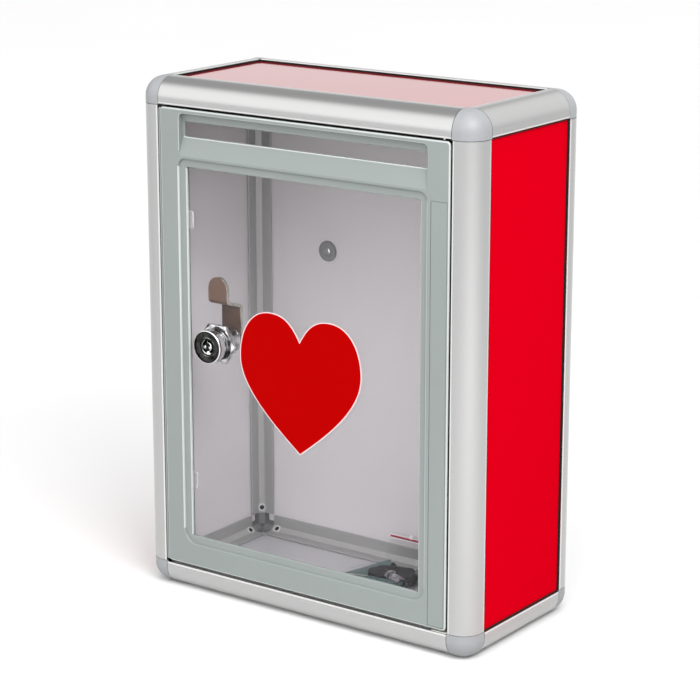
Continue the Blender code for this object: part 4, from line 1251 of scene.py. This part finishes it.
def make_cam():
    """A cranked cam: a bent strip with round ends, from the plug's tail forward to the tongue."""
    low, high = span("lock_cam")
    half, thick = (high.x - low.x) / 2, 2.0
    rear, tip = high.y - thick / 2, low.y + thick / 2
    heel, top = low.z - LOCK_Z, high.z - LOCK_Z
    crank_low, crank_high = 20.2, 24.2
    line = [(rear, heel), (rear, crank_low), (tip, crank_high), (tip, top)]
    path = [Vector(p) for p in soften(line, CAM_BEND, 7, closed=False)]
    ends = [math.sin(math.radians(a)) for a in (0, 4, 12, 22, 34, 48, 64, 90)]
    lower = [Vector((rear, heel + half * (1 - math.cos(math.asin(s))))) for s in ends]
    upper = [Vector((tip, top - half * (1 - math.cos(math.asin(s))))) for s in reversed(ends)]
    path = lower + [p for p in path[1:-1] if p.y > heel + half + 0.1 and p.y < top - half - 0.1] + upper
    shape = bmesh.new()
    previous = None
    soft = 0.35
    for i, point in enumerate(path):
        before, after = path[max(i - 1, 0)], path[min(i + 1, len(path) - 1)]
        ahead = (after - before).normalized()
        side = Vector((-ahead.y, ahead.x))
        reach = half
        if point.y < heel + half:
            reach = math.sqrt(max(half**2 - (heel + half - point.y) ** 2, 0.04))
        if point.y > top - half:
            reach = math.sqrt(max(half**2 - (point.y - top + half) ** 2, 0.04))
        corner = min(soft, 0.45 * reach)
        section = rounded(-reach, -thick / 2, reach, thick / 2, corner, 0, 2)
        loop = ring(shape, [(x, point.x + side.x * t, point.y + side.y * t) for x, t in section])
        if previous:
            bridge(shape, previous, loop)
        else:
            fill(shape, loop)
        previous = loop
    fill(shape, previous)
    bmesh.ops.recalc_face_normals(shape, faces=shape.faces)
    for face in shape.faces:
        # Its edges take the lighter steel as a painted highlight: both sides, and the round tip's top.
        at_tip = face.calc_center_median().z >= top - half
        face.material_index = 1 if max(abs(face.normal.x), face.normal.z if at_tip else 0) > 0.35 else 0
    move(shape, (LOCK_X, 0, LOCK_Z))
    piece("lock_cranked_cam", shape, [CAM_STEEL, SCREW_STEEL], "lock_rotor", "lock_cam")
    low, high = span("cam_screw")
    seat = high.y - 2.2
    shape = screw_head(4.2, 2.2, 1.2, seat - low.y, 1.9)
    move(shape, (LOCK_X, seat, LOCK_Z), Matrix.Rotation(math.pi, 4, "Z"))
    piece("cam_fixing_screw", shape, SCREW_STEEL, "lock_rotor", "cam_screw")


# ---------------------------------------------------------------- bag of keys and fixings

BAG_LOW, BAG_HIGH = span("fixings_bag")
BAG_LEAN = 13  # how far the bag's mouth lies to the right of its foot, at its left edge
BAG_BEND = 6  # radius of the bend from the floor up the back
ZIP_AT = 0.958  # the closing line's place, as a share of the way from foot to mouth


def bag_path(v):
    """A place (y, z) along the bag, from its foot to its mouth, and the way its upper film lifts there."""
    y0, y1 = BAG_LOW.y + 0.6, BAG_HIGH.y - 0.9
    z0, z1 = BAG_LOW.z + 0.3, BAG_HIGH.z - 0.3
    flat, bend, wall = y1 - BAG_BEND - y0, BAG_BEND * math.pi / 2, z1 - z0 - BAG_BEND
    at = v * (flat + bend + wall)
    if at < flat:
        return (y0 + at, z0), (0, 1)
    if at < flat + bend:
        a = (at - flat) / BAG_BEND
        across, up = math.sin(a), math.cos(a)
        return (y0 + flat + BAG_BEND * across, z0 + BAG_BEND * (1 - up)), (-across, up)
    return (y1, z0 + BAG_BEND + at - flat - bend), (-1, 0)


def bag_point(u, v, lift):
    (y, z), (ny, nz) = bag_path(v)
    left = BAG_LOW.x + 0.8 + BAG_LEAN * v
    x = left + (BAG_HIGH.x - 0.8 - left) * u
    return Vector((x, y + ny * lift, z + nz * lift))


def bag_lift(u, v):
    """How far the upper film stands off the lower one: over the contents, and in creases."""
    rim = min(u, 1 - u, 4 * v, 4 * (1 - v)) * 14
    rim = min(max(rim, 0), 1) ** 0.6
    swell = 5.2 * math.exp(-(((v - 0.26) / 0.24) ** 2)) * (0.55 + 0.45 * math.sin(math.pi * min(u * 1.3, 1)))
    crease = 1.1 * abs(noise(Vector((5 * u + 2 * v, 6 * v - 3 * u, 0.3))))
    crease += 0.45 * noise(Vector((17 * u, 13 * v, 2)))
    return 0.25 + rim * max(0.5 + swell + crease, 0.15)


def make_bag():
    shape = bmesh.new()
    across, along_bag = 44, 52
    layers = []
    for top in (False, True):
        grid = []
        for j in range(along_bag + 1):
            row = []
            for i in range(across + 1):
                u, v = i / across, j / along_bag
                row.append(shape.verts.new(bag_point(u, v, bag_lift(u, v) if top else 0.02)))
            grid.append(row)
        layers.append(border(grid))
        net(shape, grid)
    bridge(shape, *layers)
    piece("fixings_bag_film", shape, FILM, "cabinet", "fixings_bag", 60, even=False)

    # The press-to-close line across the mouth, a pale band round it that is a painted highlight for the halo
    # about the line, and its slider.
    shape = bmesh.new()
    sections = []
    for i in range(25):
        u = i / 24
        middle = bag_point(0.01 + 0.98 * u, ZIP_AT, 0.9)
        tall = 0.7
        section = [(0, -tall), (-0.35, -tall * 0.6), (-0.35, tall * 0.6), (0, tall)]
        sections.append(ring(shape, [middle + Vector((0, y, z)) for y, z in section]))
    for one, other in zip(sections, sections[1:]):
        bridge(shape, one, other)
    fill(shape, sections[0])
    fill(shape, sections[-1])
    piece("fixings_bag_zip", shape, ZIP_RED, "cabinet")
    # A pale band round the closing line: painted highlight.
    shape = bmesh.new()
    ends = [bag_point(u, ZIP_AT, 0.85) for u in (0.005, 0.995)]
    block(shape, ends[0] - Vector((0, 0, 1.5)), ends[1] + Vector((0, 0.3, 1.4)), 0.1, 1)
    piece("fixings_bag_zip_painted_halo", shape, ZIP_PALE_AND_HALO, "cabinet")
    shape = bmesh.new()
    at = bag_point(0.27, ZIP_AT, 1.5)
    block(shape, at + Vector((-1.2, -0.4, 0.7)), at + Vector((1.2, 0.4, 3.2)), 0.3, 3)
    piece("fixings_bag_slider", shape, ZIP_PALE_AND_HALO, "cabinet")
    make_bag_contents()


def lay(shape, x, y, heading, height):
    """Lays a shape that was made facing forward down on the floor, turned to a heading in degrees."""
    turn = Matrix.Rotation(math.radians(heading), 4, "Z")
    move(shape, (x, y, BAG_LOW.z + height), turn)


def make_key(name, x, y, heading, height):
    """A tubular key: a round steel barrel in a flat black grip."""
    barrel = bmesh.new()
    profile = [(2.6, 0), (2.6, 12), (2.75, 12.2), (3.4, 12.2), (3.6, 12), (3.6, 1)]
    profile += [(4.4, 0.8), (4.4, -2), (2.6, -2)]
    lathe(barrel, profile, 32)
    lay(barrel, x, y, heading, height)
    piece(f"{name}_barrel", barrel, KEY_STEEL_PAINTED_REFLECTIONS, "cabinet")
    grip = bmesh.new()
    thick = 1.5

    def outline(grow):
        return rounded(-9, 0, 9, 17, (3.5, 7), grow, 6)

    def hole(grow):
        return arc(0, 12, 2.4 + grow, 0, 345, 23)

    rims = []
    for shape_outline, side in ((outline, -1), (hole, 1)):
        stations = list(edge(shape_outline, side, -thick, 1, 0.6))
        stations += list(edge(shape_outline, side, thick, -1, 0.6))[::-1]
        rims.append(loft(grip, stations))
    for k in (0, -1):
        fill(grip, rims[0][k], rims[1][k])
    bmesh.ops.transform(grip, matrix=Matrix.Rotation(math.radians(-90), 4, "X"), verts=grip.verts)
    bmesh.ops.translate(grip, vec=(0, 1.8, 0), verts=grip.verts)
    lay(grip, x, y, heading, height)
    piece(f"{name}_grip", grip, GRIP_BLACK, "cabinet")


def make_wall_plug(name, x, y, heading, height):
    """A ribbed nylon plug for a wall screw."""
    profile = [(1.3, 0), (2.9, 0), (3.1, -0.6)]
    for i in range(8):
        at = -1.5 - 2.6 * i
        profile += [(2.5, at), (2.95, at - 0.7), (2.95, at - 1.5), (2.4, at - 2.2)]
    profile += [(1.9, -24), (1.3, -24)]
    shape = bmesh.new()
    lathe(shape, profile, 20)
    lay(shape, x, y, heading, height)
    piece(name, shape, PLUG_TEAL, "cabinet")


def make_wall_screw(name, x, y, heading, height):
    """A dark countersunk wood screw with a coarse thread."""
    profile = [(0, 0), (3.2, 0), (3.4, -0.3), (1.6, -2.6)]
    for i in range(10):
        at = -4 - 1.7 * i
        profile += [(1.15, at), (1.75, at - 0.5), (1.75, at - 0.7), (1.15, at - 1.2)]
    profile += [(0.9, -22), (0, -25)]
    shape = bmesh.new()
    lathe(shape, profile, 18)
    lay(shape, x, y, heading, height)
    piece(name, shape, BLACK, "cabinet")


def make_slip(name, corners, thick):
    """A slip of plastic over the fixings: a thin arched plate between four corners, with a pale cut edge."""
    shape = bmesh.new()
    places = [BAG_LOW + Vector(corner) for corner in corners]
    count = 8
    layers = []
    for lift in (0, thick):
        grid = []
        for i in range(count + 1):
            a, b = i / count, 0.35 * math.sin(math.pi * i / count)
            low = places[0].lerp(places[1], a) + Vector((0, 0, lift + b))
            high = places[3].lerp(places[2], a) + Vector((0, 0, lift + b))
            grid.append([shape.verts.new(low.lerp(high, k / count)) for k in range(count + 1)])
        layers.append(border(grid))
        net(shape, grid)
    before = set(shape.faces)
    bridge(shape, *layers)
    for face in set(shape.faces) - before:
        face.material_index = 1
    piece(name, shape, [PLUG_TEAL, NYLON], "cabinet")


def make_bag_contents():
    make_key("spare_key_upper", 130, 66, 62, 4.6)
    make_key("spare_key_lower", 139, 79, 128, 4.6)
    make_wall_plug("wall_plug_front", 141, 60, 96, 3.4)
    make_wall_screw("wall_screw_front", 138, 64, 82, 3.9)
    make_wall_screw("wall_screw_rear", 119, 82, -82, 3.9)
    make_wall_screw("wall_screw_middle", 142, 71, 72, 4.4)
    make_slip("folded_slip", ((4.5, 10.5, 1), (19, 15, 1.6), (27, 31, 3.6), (20, 38, 5)), 0.35)


make_rails()
make_connectors()
make_panels()
make_grommets()
make_small_nylon()
make_door_frame()
make_door_gap_strip()
make_cover_strip()
make_glazing()
make_heart()
make_clips()
make_hinge_pins()
make_lock()
make_bag()


# ---------------------------------------------------------------- camera, floor and light

CAMERA_PLACE = (874.9, -1000.1, 494.9)
CAMERA_YAW, CAMERA_PITCH = 36.02, 14.985
CAMERA_LENS, SENSOR = 122.0, 36.0


def make_camera():
    data = bpy.data.cameras.new("camera")
    data.sensor_width = SENSOR
    data.lens = CAMERA_LENS
    data.clip_start, data.clip_end = 0.05, 60
    camera = bpy.data.objects.new("camera", data)
    camera.location = TO_WORLD @ Vector(CAMERA_PLACE)
    camera.rotation_euler = (math.radians(90 - CAMERA_PITCH), 0, math.radians(CAMERA_YAW))
    SCENE.collection.objects.link(camera)
    SCENE.camera = camera


def make_floor():
    mesh = bpy.data.meshes.new("floor")
    shape = bmesh.new()
    bmesh.ops.create_grid(shape, x_segments=2, y_segments=2, size=12)
    shape.to_mesh(mesh)
    shape.free()
    look = Look("pale_floor", (0.62, 0.62, 0.62), 0.7)
    look.vary(look.noise(0.6, 2), 0.01)
    look.polish(look.noise(3, 2), 0.05)
    mesh.materials.append(look.material)
    floor = bpy.data.objects.new("floor", mesh)
    SCENE.collection.objects.link(floor)


# Broad soft lights around the set: (direction, inner and outer angle in degrees, how bright)
SURROUNDINGS = 0.72
SOFT_LIGHTS = (
    ((0.4545, -0.5417, 0.7071), 14, 48, 3.6),  # key, high on the right at the front
    ((-0.58, -0.70, 0.42), 12, 48, 1.45),  # softbox at the front, on the left
    ((-0.10, -1.00, 0.16), 8, 34, 0.45),  # front fill, which reaches into the box
    ((-0.58, 0.80, 0.13), 4, 17, 0.6),  # backdrop behind, on the left
    ((0.25, 0.85, 0.40), 10, 45, 0.95),  # behind
    ((0.85, -0.45, 0.30), 20, 65, 0.15),  # on the right
    ((0, 0, 1), 10, 30, 0.8),  # overhead
)


def area_light(name, place, target, size, power):
    data = bpy.data.lights.new(name, "AREA")
    data.size = size
    data.energy = power
    light = bpy.data.objects.new(name, data)
    light.location = place
    light.rotation_euler = (Vector(target) - Vector(place)).to_track_quat("-Z", "Y").to_euler()
    SCENE.collection.objects.link(light)


def make_world():
    """Soft studio surroundings, dim all round but for a few broad lights with no edges."""
    world = bpy.data.worlds.new("studio")
    SCENE.world = world
    world.use_nodes = True
    tree = world.node_tree
    tree.nodes.clear()
    direction = add_node(tree, "ShaderNodeTexCoord").outputs["Generated"]
    total = None
    for towards, inner, outer, level in SOFT_LIGHTS:
        aim = Vector(towards).normalized()
        nearness = add_node(tree, "ShaderNodeVectorMath", {1: aim}, {0: direction})
        nearness.operation = "DOT_PRODUCT"
        far, near = math.cos(math.radians(outer)), math.cos(math.radians(inner))
        limits = {"From Min": far, "From Max": near, "To Max": level}
        glow = add_node(tree, "ShaderNodeMapRange", limits, {"Value": nearness.outputs["Value"]})
        glow.interpolation_type = "SMOOTHSTEP"
        add = add_node(tree, "ShaderNodeMath", {1: SURROUNDINGS}, {0: glow.outputs["Result"]})
        add.operation = "ADD"
        if total:
            tree.links.new(total, add.inputs[1])
        total = add.outputs["Value"]
    background = add_node(tree, "ShaderNodeBackground", (), {"Strength": total})
    add_node(tree, "ShaderNodeOutputWorld", (), {"Surface": background.outputs["Background"]})


make_camera()
make_floor()
make_world()
area_light("floor_light_right", (0.70, -0.45, 0.9), (0.62, -0.38, 0), 0.5, 9)
SCENE.view_settings.view_transform = "Standard"
